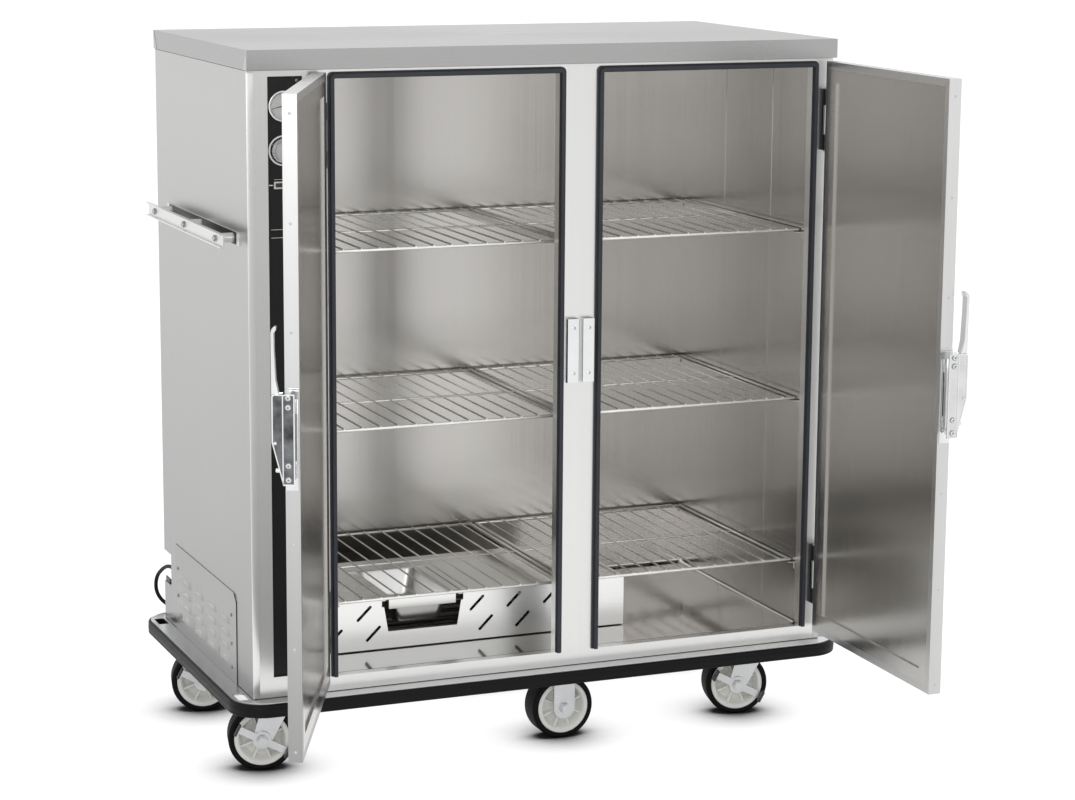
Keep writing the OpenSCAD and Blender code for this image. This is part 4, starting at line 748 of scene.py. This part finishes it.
def add_latch_flange(bm):
    """The flange on the door's edge with its slot and hole, and the straps above the housing."""
    u = DOOR_U0 - 2
    y0, y1 = DOOR_OUT_Y + 1, DOOR_IN_Y - 3
    z0, z1 = LATCH_Z0 - 13, LATCH_Z1 - 12
    slot_y0, slot_y1 = y1 - 6, y1 - 3
    slot_z0, slot_z1 = LATCH_Z0 + 38, LATCH_Z1 - 36
    for near, far, low, high in ((y0, slot_y0, z0, z1), (slot_y1, y1, z0, z1),
                                 (slot_y0, slot_y1, slot_z1, z1), (slot_y0, slot_y1, z0, slot_z0)):
        box(bm, (u, near, low), (DOOR_U0, far, high), 0.3)
    for z in (LATCH_Z1 + 1, LATCH_Z1 + 5):
        box(bm, (u, DOOR_OUT_Y, z), (DOOR_U0, y1 + 2, z + 2.2), 0.5)
    hole = axis_along(u, y1 - 5, LATCH_Z0 + 12, (-1, 0, 0))
    lathe(bm, [(2.4, 0), (4.4, 0), (4.2, 0.9), (2.6, 0.9)], 24, hole)


def make_latch(name, side):
    """Housing with a hollow face, a slanted foot and two lips for the lever's pin."""
    face = from_door_face(LATCH_U0)
    outline = latch_outline()
    bm = bmesh.new()
    prism(bm, outline, 1.1, LATCH_FACE_T)
    hollow_prism(bm, outline, inset(outline, 2), 0, 1.1)
    box(bm, (0.4, LATCH_Z0 + 2, 0), (2, LATCH_Z1 - 2, 1.1))
    case = [(-LATCH_IN + 8, LATCH_Z0 + 4), (1, LATCH_Z0 + 4), (LATCH_OUT - 1.5, LATCH_Z0 + 78),
            (LATCH_OUT - 1.5, LEVER_Z - 12), (2, LEVER_Z - 12), (2, LATCH_Z1), (-LATCH_IN + 8, LATCH_Z1)]
    prism(bm, case, LATCH_FACE_T, LATCH_DEPTH)
    lever = LEVER_U0 - LATCH_U0
    for low, high in ((LATCH_FACE_T, lever - 0.5), (lever + LEVER_W + 0.5, LATCH_DEPTH)):
        box(bm, (2, LEVER_Z - 12, low), (LATCH_OUT - 1.5, LATCH_Z1, high), 0.3)
    bm.transform(face)
    for z in LATCH_SCREW_ZS:
        ring_screw(bm, LATCH_SCREW_OUT, z, LATCH_SCREW_R, face)
    ring_screw(bm, LATCH_OUT - 6, LATCH_Z0 + 73, 2.8, face)
    stop = face @ Matrix.Translation((10, LATCH_Z0 + 25, 8)) @ Matrix.Rotation(math.radians(90), 4, "Y")
    lathe(bm, [(0, -6), (4, -6), (4, 3), (2.6, 4.4), (0, 4.4)], 20, stop)
    add_latch_flange(bm)
    placed(bm, name + "_latch_case", name + "_door", "chrome", on_door(side), 35,
           replaces=[name + "_latch_body"])
    make_latch_webs(name, side, face)


def make_lever(name, side):
    """Blade that is broad at its foot, with a hollow face and a tip bent towards the door."""
    foot, tip = LEVER_Z + 12, LEVER_Z + LEVER_LEN
    face = LATCH_OUT + 0.5
    outline = [(LEVER_OUT + 6, LEVER_Z + 4), (face, foot + 3), (face, tip - 14),
               *arc(face - 11, tip - 12, 11, 0, 70), (face - 9.5, tip - 3.5),
               *arc(face - 11, tip - 12, 6, 60, 0, 4), (face - 5.2, tip - 40), (face - 7.5, foot + 26),
               (LATCH_OUT - 11.5, foot + 3), (LEVER_OUT - 6, LEVER_Z + 4)]
    outline += arc(LEVER_OUT, LEVER_Z, 6.3, 150, 390, 12)
    bm = bmesh.new()
    prism(bm, outline, 0, LEVER_W, 1.6, 3)
    bm.transform(from_door_face(LEVER_U0))
    placed(bm, name + "_lever_blade", name + "_lever", "chrome", on_door(side), 40,
           replaces=[name + "_latch_lever"])


STRIKE_Z0, STRIKE_Z1 = 713, 837
STRIKE_W, STRIKE_D, STRIKE_T = 25, 12.5, 2.5


def make_strike(name, side):
    """Folded channel on the post, with a screw head near each end."""
    u1 = DOOR_U0 - 2.6
    u0, depth, wall = u1 - STRIKE_W, STRIKE_D, STRIKE_T
    bm = bmesh.new()
    outline = [(u0, FRONT_Y), (u0, FRONT_Y - depth + 2), *arc(u0 + 2, FRONT_Y - depth + 2, 2, 180, 270, 4),
               *arc(u1 - 2, FRONT_Y - depth + 2, 2, 270, 360, 4), (u1, FRONT_Y)]
    inner = [(min(max(x, u0 + wall), u1 - wall), min(max(y, FRONT_Y - depth + wall), FRONT_Y - wall))
             for x, y in outline]
    hollow_prism(bm, outline, inner, STRIKE_Z0, STRIKE_Z1)
    for z in (STRIKE_Z0 + 18, STRIKE_Z1 - 18):
        screw_head(bm, 3.6, 2, axis_along((u0 + u1) / 2, FRONT_Y - depth, z, (0, -1, 0)))
    placed(bm, name + "_strike", "cabinet", "chrome", at_doorway(side), 35)


for name, side in SIDES.items():
    make_latch(name, side)
    make_lever(name, side)
    make_strike(name, side)
for name in SIDES:
    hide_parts("strike_plates")


# Screws and rivets

SERVICE_SCREW_YS, SERVICE_SCREW_ZS = (-178, 206), (173, 220, 277)
PANEL_X0, PANEL_X1, PANEL_Z0, PANEL_Z1, PANEL_Y = -558, -492, 186, 1312, -310
HANDLE_Y, HANDLE_Z, HANDLE_PITCH, HANDLE_FACE = -15, 1011, 214, 636.5
EDGE_SPOTS = [1287 - 183 * k for k in range(7)]


def make_screws():
    bm = bmesh.new()
    for y in SERVICE_SCREW_YS:
        for z in SERVICE_SCREW_ZS:
            screw_head(bm, 3.5, 1.9, axis_along(-HALF_W - 1.5, y, z, (-1, 0, 0)))
    for z in (PANEL_Z0 + 8, PANEL_Z1 - 8):
        screw_head(bm, 3, 1.9, axis_along(PANEL_X1 - 9, PANEL_Y, z, (0, -1, 0)))
    placed(bm, "screw_heads", "cabinet", "bolt_steel", smooth=30, replaces=["panel_screws"])
    fixings = [axis_along(side * HANDLE_FACE, HANDLE_Y + k * HANDLE_PITCH, HANDLE_Z, (side, 0, 0))
               for side in (-1, 1) for k in (-1, 0, 1)]
    bm = bmesh.new()
    for place in fixings:
        screw_head(bm, 5, 4.4, place)
    placed(bm, "handle_screws", "cabinet", "zinc", smooth=30)
    bm = bmesh.new()
    for place in fixings:
        lathe(bm, [(5, -0.3), (6.6, -0.3), (6.2, 0.7), (5, 0.9)], 28, place)
    placed(bm, "handle_washers", "cabinet", "bolt_steel", smooth=30)


def make_edge_rivets(name, side):
    """Flush rivets down the free edge of a door."""
    bm = bmesh.new()
    for z in EDGE_SPOTS:
        beside_latch = LATCH_Z0 - 20 < z < LATCH_Z1 + 12
        if not beside_latch:
            place = axis_along(DOOR_U0, (DOOR_OUT_Y + DOOR_IN_Y) / 2, z, (-1, 0, 0))
            lathe(bm, [(0, -0.2), (2.6, -0.2), (2.6, 0.1), (2.1, 0.5), (0, 0.7)], 24, place)
    placed(bm, name + "_edge_rivets", name + "_door", "zinc", on_door(side), 40)


make_screws()
for name, side in SIDES.items():
    make_edge_rivets(name, side)


# Instruments: marks on the dials and the panel

GAUGE_X, GAUGE_Z, KNOB_Z, SWITCH_Z = -528, 1258, 1177, 1114
GAUGE_R = 28.5
DIAL_Y, SCALE_Y = PANEL_Y - 2.1, PANEL_Y - 1.2


def dial_mark(bm, y, z, radius, angle, length, width):
    """Short bar across a dial at an angle from straight up, clockwise."""
    turn = Matrix.Translation((GAUGE_X, y, z)) @ Matrix.Rotation(math.radians(angle), 4, "Y")
    box(bm, (-width / 2, -0.15, radius - length), (width / 2, 0, radius), 0, turn)


def make_dial_marks():
    bm = bmesh.new()
    for k in range(46):
        length, width = (1.8, 0.25) if k % 5 else (3.4, 0.5)
        dial_mark(bm, DIAL_Y, GAUGE_Z, GAUGE_R - 5, -135 + 6 * k, length, width)
    lathe(bm, [(GAUGE_R - 4.9, 0), (GAUGE_R - 4.5, 0), (GAUGE_R - 4.5, 0.15), (GAUGE_R - 4.9, 0.15)], 64,
          axis_along(GAUGE_X, DIAL_Y, GAUGE_Z, (0, -1, 0)))
    placed(bm, "thermometer_marks", "cabinet", "ink")
    bm = bmesh.new()
    for k in range(31):
        dial_mark(bm, SCALE_Y, KNOB_Z, GAUGE_R - 3.6, -150 + 10 * k, 1.2 if k % 3 else 2.2, 0.5)
    lathe(bm, [(GAUGE_R - 3.6, 0), (GAUGE_R - 0.7, 0), (GAUGE_R - 0.7, 0.3), (GAUGE_R - 3.6, 0.3)], 64,
          axis_along(GAUGE_X, SCALE_Y, KNOB_Z, (0, -1, 0)))
    placed(bm, "thermostat_marks", "cabinet", "enamel")
    bm = bmesh.new()
    box(bm, (PANEL_X0 + 3, PANEL_Y - 0.15, SWITCH_Z - 1), (PANEL_X0 + 10, PANEL_Y, SWITCH_Z + 1))
    box(bm, (GAUGE_X - 17, PANEL_Y - 0.15, SWITCH_Z + 10), (GAUGE_X + 2, PANEL_Y, SWITCH_Z + 10.6))
    for z in (SWITCH_Z - 82, SWITCH_Z - 97):
        box(bm, (PANEL_X0 + 6, PANEL_Y - 0.15, z), (PANEL_X1 - 10, PANEL_Y, z + 0.8))
    placed(bm, "panel_marks", "cabinet", "enamel")


make_dial_marks()


# Service panel: a sheet with pressed louvres, drawn as one height field

SERVICE_Y0, SERVICE_Y1 = -210, 223
SERVICE_Z0, SERVICE_Z1 = 146.3, 325
SERVICE_X, SERVICE_CORNER = -HALF_W - 1.5, 16
LOUVRE_YS = [6.5 + 91 * (k - 1.5) for k in range(4)]
LOUVRE_ZS = [178 + 25.5 * k for k in range(4)]
LOUVRES = [(y, z) for y in LOUVRE_YS for z in LOUVRE_ZS]
LOUVRE_LEN, LOUVRE_H, LOUVRE_OUT = 66, 20, 2.6


def louvre_height(y, z):
    """How far the sheet is pressed out at a place: full at the lower lip, none at the top and ends."""
    for middle, foot in LOUVRES:
        rise = (z - foot) / LOUVRE_H
        reach = (LOUVRE_LEN / 2 - abs(y - middle)) / 9
        if 0 <= rise < 1 and reach > 0:
            ends = math.sin(min(reach, 1) * math.pi / 2)
            return LOUVRE_OUT * ends * (1 - rise) ** 1.3
    return 0.0


def make_service_panel():
    corner_y = SERVICE_Y0 + SERVICE_CORNER
    ys = {SERVICE_Y0, corner_y, SERVICE_Y1}
    for middle in LOUVRE_YS:
        for way in (-1, 1):
            ys |= {middle + way * (LOUVRE_LEN / 2 - d) for d in (0, 1, 2.5, 4.5, 7, 9, 20)}
    zs = {SERVICE_Z0, SERVICE_Z1}
    for foot in LOUVRE_ZS:
        zs |= {foot - 0.02} | {foot + LOUVRE_H * k / 8 for k in range(9)}
    ys, zs = sorted(ys), sorted(zs)
    rows = []
    bm = bmesh.new()
    for y in ys:
        drop = 0
        if y < corner_y:
            drop = SERVICE_CORNER - math.sqrt(max(0, SERVICE_CORNER ** 2 - (corner_y - y) ** 2))
        rows.append([bm.verts.new((SERVICE_X - louvre_height(y, z), y, min(z, SERVICE_Z1 - drop)))
                     for z in zs])
    for first, second in zip(rows, rows[1:]):
        strip_faces(bm, first, second)
    corner = ((0, SERVICE_CORNER), (1.2, 10), (4.7, 4.7), (10, 1.2), (SERVICE_CORNER, 0))
    rim = [(SERVICE_Y0, SERVICE_Z0), *[(SERVICE_Y0 + across, SERVICE_Z1 - down) for across, down in corner],
           (SERVICE_Y1, SERVICE_Z1), (SERVICE_Y1, SERVICE_Z0)]
    front = [bm.verts.new((SERVICE_X + 0.02, y, z)) for y, z in rim]
    back = [bm.verts.new((-HALF_W, y, z)) for y, z in rim]
    ring_faces(bm, front, back)
    placed(bm, "service_sheet", "cabinet", "steel_service", smooth=24, replaces=["service_panel"])
    # Painted shade: dark strips under each louvre's lip, standing in for the shade inside its opening
    bm = bmesh.new()
    opening = LOUVRE_LEN / 2 - 6
    for y, z in LOUVRES:
        box(bm, (SERVICE_X - LOUVRE_OUT + 0.6, y - opening, z - 0.35),
            (SERVICE_X + 0.2, y + opening, z + 0.05), 0.1)
    placed(bm, "louvre_openings", "cabinet", "gap_shade")
    # Painted highlights: raised beads of lighter metal along the upper part of each louvre, standing in for
    # the light on the pressing
    bm = bmesh.new()
    for y, z in LOUVRES:
        for lift, reach in ((7, 22), (9, 17)):
            x = SERVICE_X - louvre_height(y, z + lift) + 0.6
            rod(bm, (x, y - reach, z + lift), (x, y + reach, z + lift), 1.2, 12, 1.1)
    placed(bm, "louvre_highlight_beads", "cabinet", "zinc", smooth=60)


make_service_panel()


# Water pan: a drawn basin under a flat rim, with a rolled lip at the front

PAN_X, PAN_Y, PAN_TOP = -209, -56, 277.2
PAN_HALF_W, PAN_HALF_D = 84, 120


def make_water_pan():
    inside = [(PAN_HALF_W, PAN_HALF_D, 3, 0), (61, 106.5, 15, 0), (59.6, 105.4, 15, -3),
              (49.6, 97.5, 17, -49), (47, 95, 16, -53), (43.5, 91.5, 14, -54.8)]
    outside = [(43.5, 91.5, 14, -56), (48.2, 96.2, 17, -54), (50.9, 98.8, 18, -49),
               (60.9, 106.7, 16, -3), (PAN_HALF_W, PAN_HALF_D, 3, -2)]
    bm = bmesh.new()
    inner, outer = [[[bm.verts.new((place.x + PAN_X, place.y + PAN_Y, PAN_TOP + h))
                      for place, out in rounded_loop(w, d, r, 6)] for w, d, r, h in steps]
                    for steps in (inside, outside)]
    for first, second in [*zip(inner, inner[1:]), *zip(outer, outer[1:] + inner[:1])]:
        ring_faces(bm, first, second)
    bm.faces.new(inner[-1])
    bm.faces.new(outer[0])
    front = PAN_Y - PAN_HALF_D
    lip = [(front, PAN_TOP - 2), *arc(front + 2, PAN_TOP - 2, 2, 180, 90, 4),
           (front + 4, PAN_TOP - 1.6), (front + 2, PAN_TOP - 3), (front + 1.8, PAN_TOP - 19),
           *arc(front + 1, PAN_TOP - 20, 1, 0, -180, 4)]
    part = bmesh.new()
    prism(part, lip, -70, 70)
    part.transform(Matrix(((0, 0, 1, PAN_X), (1, 0, 0, 0), (0, 1, 0, 0), (0, 0, 0, 1))))
    join(bm, part)
    placed(bm, "pan_basin", "water_pan", "steel_cover", smooth=35, replaces=["water_pan"])


make_water_pan()


# Cabinet floor: a polished sheet with coved edges against the walls

LINER_X0, LINER_X1, LINER_BACK = -432, 553, 255
FLOOR_Z, LINER_FRONT = 176, -294.5
COVE_R, SHEET_GAP = 7, 0.3
LINER_JOINT_YS, LINER_JOINT_TOP = (-150, 60), 1300


def make_cabinet_floor():
    r = COVE_R
    x0, x1, back = LINER_X0 + SHEET_GAP, LINER_X1 - SHEET_GAP, LINER_BACK - SHEET_GAP
    z = FLOOR_Z + r + SHEET_GAP
    floor = arc(x0 + r, z, r, 180, 270) + arc(x1 - r, z, r, 270, 360)
    cove = arc(back - r, z + 0.05, r, 270, 360)
    bm = bmesh.new()
    strip_faces(bm, *[[bm.verts.new((x, y, z)) for x, z in floor] for y in (LINER_FRONT, back)])
    strip_faces(bm, *[[bm.verts.new((x, y, z)) for y, z in cove] for x in (x0, x1)])
    placed(bm, "floor_sheet", "cabinet", "steel_floor", smooth=60)
    bm = bmesh.new()
    for y in LINER_JOINT_YS:
        box(bm, (LINER_X1 - 0.7, y, FLOOR_Z + 9), (LINER_X1 - 0.1, y + 0.8, LINER_JOINT_TOP), 0.1)
    placed(bm, "liner_joints", "cabinet", "steel_inner")


make_cabinet_floor()


# Painted shadow gaps: dark strips under the cap, between the body and the base plate, and before the service
# panel

def make_joint_shadows():
    bm = bmesh.new()
    for z0, z1 in ((BASE_Z, BASE_Z + 1.2), (CAP_LOW - 1.4, CAP_LOW + 0.1)):
        box(bm, (-HALF_W + 0.5, FRONT_Y - 0.35, z0), (HALF_W - 0.5, FRONT_Y + 0.2, z1), 0.1)
        box_each_side(bm, HALF_W - 0.2, HALF_W + 0.35, (FRONT_Y + 1, z0), (HALF_D - 1, z1), 0.1)
    box(bm, (-HALF_W - 0.9, SERVICE_Y0 - 1.1, BASE_Z + 2),
        (-HALF_W + 0.2, SERVICE_Y0 - 0.1, SERVICE_Z1 - 12), 0.1)
    placed(bm, "joint_shadow_strips", "cabinet", "gap_shade")


make_joint_shadows()


# Strain relief: flanged nut and a ribbed tapering sleeve

GLAND_AT = (-585, 263, 254)


def make_strain_relief():
    place = axis_along(*GLAND_AT, (0, 1, 0))
    bm = bmesh.new()
    lathe(bm, [(0, -12), (9, -12), (9, 0), (0, 0)], 32, place)
    nut = bmesh.new()
    prism(nut, arc(0, 0, 12.9, 0, 300, 5), 0, 5, 0.8)
    nut.transform(place)
    join(bm, nut)
    sleeve = [(4.1, 5), (8, 5)]
    for k in range(6):
        wide = 8 - 3 * (k + 0.5) / 6
        low = 5 + 5 * k
        sleeve += [(wide, low + 0.6), (wide - 0.1, low + 3), (wide - 1, low + 3.7), (wide - 1.1, low + 4.8)]
    sleeve += [(4.6, 35), (4.1, 35)]
    lathe(bm, sleeve, 32, place)
    placed(bm, "strain_relief", "cabinet", "black_plastic", smooth=35, replaces=["cord_gland"])


make_strain_relief()


# Trim: painted shade strips behind the handles, painted highlight strips down the front corners, cups in the
# base plate's slots

HANDLE_SHADE_HALF_LEN, HANDLE_SHADE_HALF_H = 232, 11.5
BODY_MARGIN = 6
SLOT_FROM_SIDE, SLOT_FROM_BACK = 10.25, 22
CUP_HALF_W, CUP_HALF_D, CUP_R = 9.95, 21.7, 4


def make_handle_shade():
    bm = bmesh.new()
    # Painted shadow and reflection: a dark strip on each side panel behind the handle's bar
    box_each_side(bm, HALF_W + 1.9, HALF_W + 3, (HANDLE_Y - HANDLE_SHADE_HALF_LEN, HANDLE_Z - HANDLE_SHADE_HALF_H),
                  (HANDLE_Y + HANDLE_SHADE_HALF_LEN, HANDLE_Z + HANDLE_SHADE_HALF_H), 0.4)
    placed(bm, "handle_shade_strips", "cabinet", "black_paint_and_shade")


def make_corner_highlight_strips():
    bm = bmesh.new()
    # Painted highlight: a thin strip of lighter steel down each front corner, standing in for the light on
    # the folded edge
    box_each_side(bm, HALF_W, HALF_W - 13, (FRONT_Y - 0.5, BASE_Z + 1.6), (FRONT_Y + 0.2, CAP_LOW - 3), 0.2)
    placed(bm, "corner_highlight_strips", "cabinet", "steel_painted_highlight")


def make_slot_cups():
    """Rubber cups in the slots at the rear corners of the base plate."""
    bm = bmesh.new()
    y = HALF_D - BODY_MARGIN - SLOT_FROM_BACK
    for side in (-1, 1):
        x = side * (HALF_W + BODY_MARGIN + SLOT_FROM_SIDE)
        loop = rounded_loop(CUP_HALF_W, CUP_HALF_D, CUP_R, 6)
        outline = [(x + place.x, y + place.y) for place, out in loop]
        hollow_prism(bm, outline, inset(outline, 1.2), BASE_Z - 11, BASE_Z - 1)
        prism(bm, outline, BASE_Z - 12, BASE_Z - 11)
    placed(bm, "slot_cups", "cabinet", "vinyl")


make_handle_shade()
make_corner_highlight_strips()
make_slot_cups()


# Brake pedals: rubber shoes on both ends of the strap

PEDAL_HALF_LEN, PEDAL_Y, PEDAL_TILT = 52.75, -31.6, 27


def make_brake_shoes(k, corner):
    bm = bmesh.new()
    for x in (-PEDAL_HALF_LEN, PEDAL_HALF_LEN):
        box(bm, (x - 2.2, -16.2, -11.8), (x + 2.2, -3.6, 11.8), 1.2)
        for z in (-8.8, -4.4, 0, 4.4, 8.8):
            box(bm, (x - 2.6, -15.6, z - 0.8), (x + 2.6, -4.2, z + 0.8), 0.4)
    tilt = Matrix.Rotation(math.radians(PEDAL_TILT), 4, "Y")
    place = swivel_frame(k) @ Matrix.Translation((-TRAIL, PEDAL_Y, WHEEL_R)) @ tilt
    placed(bm, corner + "_brake_shoes", corner + "_brake", "black_plastic", place, 35)


for k, corner in enumerate(CORNERS):
    make_brake_shoes(k, corner)


# Cap corners: the front and back flanges lap round the sides with a slanted edge

def make_cap_laps():
    bm = bmesh.new()
    for sx in (-1, 1):
        for y, way in ((CAP_Y0, 1), (CAP_Y1, -1)):
            outline = [(y, CAP_TOP - 0.5), (y + way * 2, CAP_TOP - 0.5), (y + way * 22, CAP_LOW + 3),
                       (y + way * 20, CAP_LOW), (y, CAP_LOW)]
            turn = Matrix(((0, 0, sx, sx * (CAP_X - 0.1)), (1, 0, 0, 0), (0, 1, 0, 0), (0, 0, 0, 1)))
            part = bmesh.new()
            prism(part, outline, 0, 0.8, 0.3)
            part.transform(turn)
            join(bm, part)
    placed(bm, "cap_corner_laps", "cabinet", "steel_side", smooth=30)


make_cap_laps()


# Floor, world and lamps

WORLD_GREY = 0.64
FLOOR_LIFT = 0.8
CONTACT = 0.125


def seen_plain(tree):
    """1 for rays that should meet the plain white surroundings."""
    path = add(tree, "ShaderNodeLightPath")
    first = add(tree, "ShaderNodeMath", {0: path.outputs["Is Camera Ray"], 1: path.outputs["Is Glossy Ray"]},
                operation="MAXIMUM").outputs[0]
    return add(tree, "ShaderNodeMath", {0: first, 1: path.outputs["Is Transmission Ray"]},
               operation="MAXIMUM").outputs[0]


def make_floor():
    bpy.ops.mesh.primitive_circle_add(vertices=96, radius=60, fill_type="NGON")
    floor = bpy.context.object
    floor.name = "floor"
    material = bpy.data.materials.new("floor")
    material.use_nodes = True
    tree = material.node_tree
    tree.nodes.clear()
    lit = add(tree, "ShaderNodeBsdfDiffuse", {"Color": (0.8, 0.8, 0.8, 1)})
    # Painted contact shadow: ambient occlusion darkens the floor's colour and glow near the object
    near = add(tree, "ShaderNodeAmbientOcclusion", {"Distance": CONTACT}, samples=16).outputs["AO"]
    open_sky = spread(tree, near, 0, 1, 0.45, 0.97)
    soft = add(tree, "ShaderNodeBsdfDiffuse", {"Color": tint(tree, open_sky, (0.06,) * 3, (0.5,) * 3)})
    lift = add(tree, "ShaderNodeMath", {0: open_sky, 1: FLOOR_LIFT}, operation="MULTIPLY").outputs[0]
    glow = add(tree, "ShaderNodeEmission", {"Strength": lift})
    lifted = add(tree, "ShaderNodeAddShader", {0: soft.outputs[0], 1: glow.outputs[0]})
    mixed = add(tree, "ShaderNodeMixShader", {0: seen_plain(tree), 1: lit.outputs[0], 2: lifted.outputs[0]})
    add(tree, "ShaderNodeOutputMaterial", {"Surface": mixed.outputs[0]})
    floor.data.materials.append(material)


def make_world():
    world = bpy.data.worlds.new("studio")
    bpy.context.scene.world = world
    world.use_nodes = True
    tree = world.node_tree
    tree.nodes.clear()
    dim = add(tree, "ShaderNodeBackground", {"Color": (WORLD_GREY,) * 3 + (1,)})
    white = add(tree, "ShaderNodeBackground", {"Color": (1, 1, 1, 1)})
    mixed = add(tree, "ShaderNodeMixShader", {0: seen_plain(tree), 1: dim.outputs[0], 2: white.outputs[0]})
    add(tree, "ShaderNodeOutputWorld", {"Surface": mixed.outputs[0]})


def softbox(name, place, aim, size, power):
    data = bpy.data.lights.new(name, "AREA")
    data.shape = "RECTANGLE"
    data.size, data.size_y = size
    data.energy = power
    lamp = bpy.data.objects.new(name, data)
    bpy.context.scene.collection.objects.link(lamp)
    lamp.location = place
    lamp.rotation_euler = (Vector(aim) - Vector(place)).to_track_quat("-Z", "Y").to_euler()


make_floor()
make_world()
softbox("key_softbox", (-2.6, -5.5, 2.6), (0, 0, 0.7), (3.0, 3.0), 48)
softbox("top_softbox", (0.4, -0.4, 3.6), (0, 0, 0.7), (3.0, 2.4), 11)

bpy.context.scene.view_settings.view_transform = "Standard"
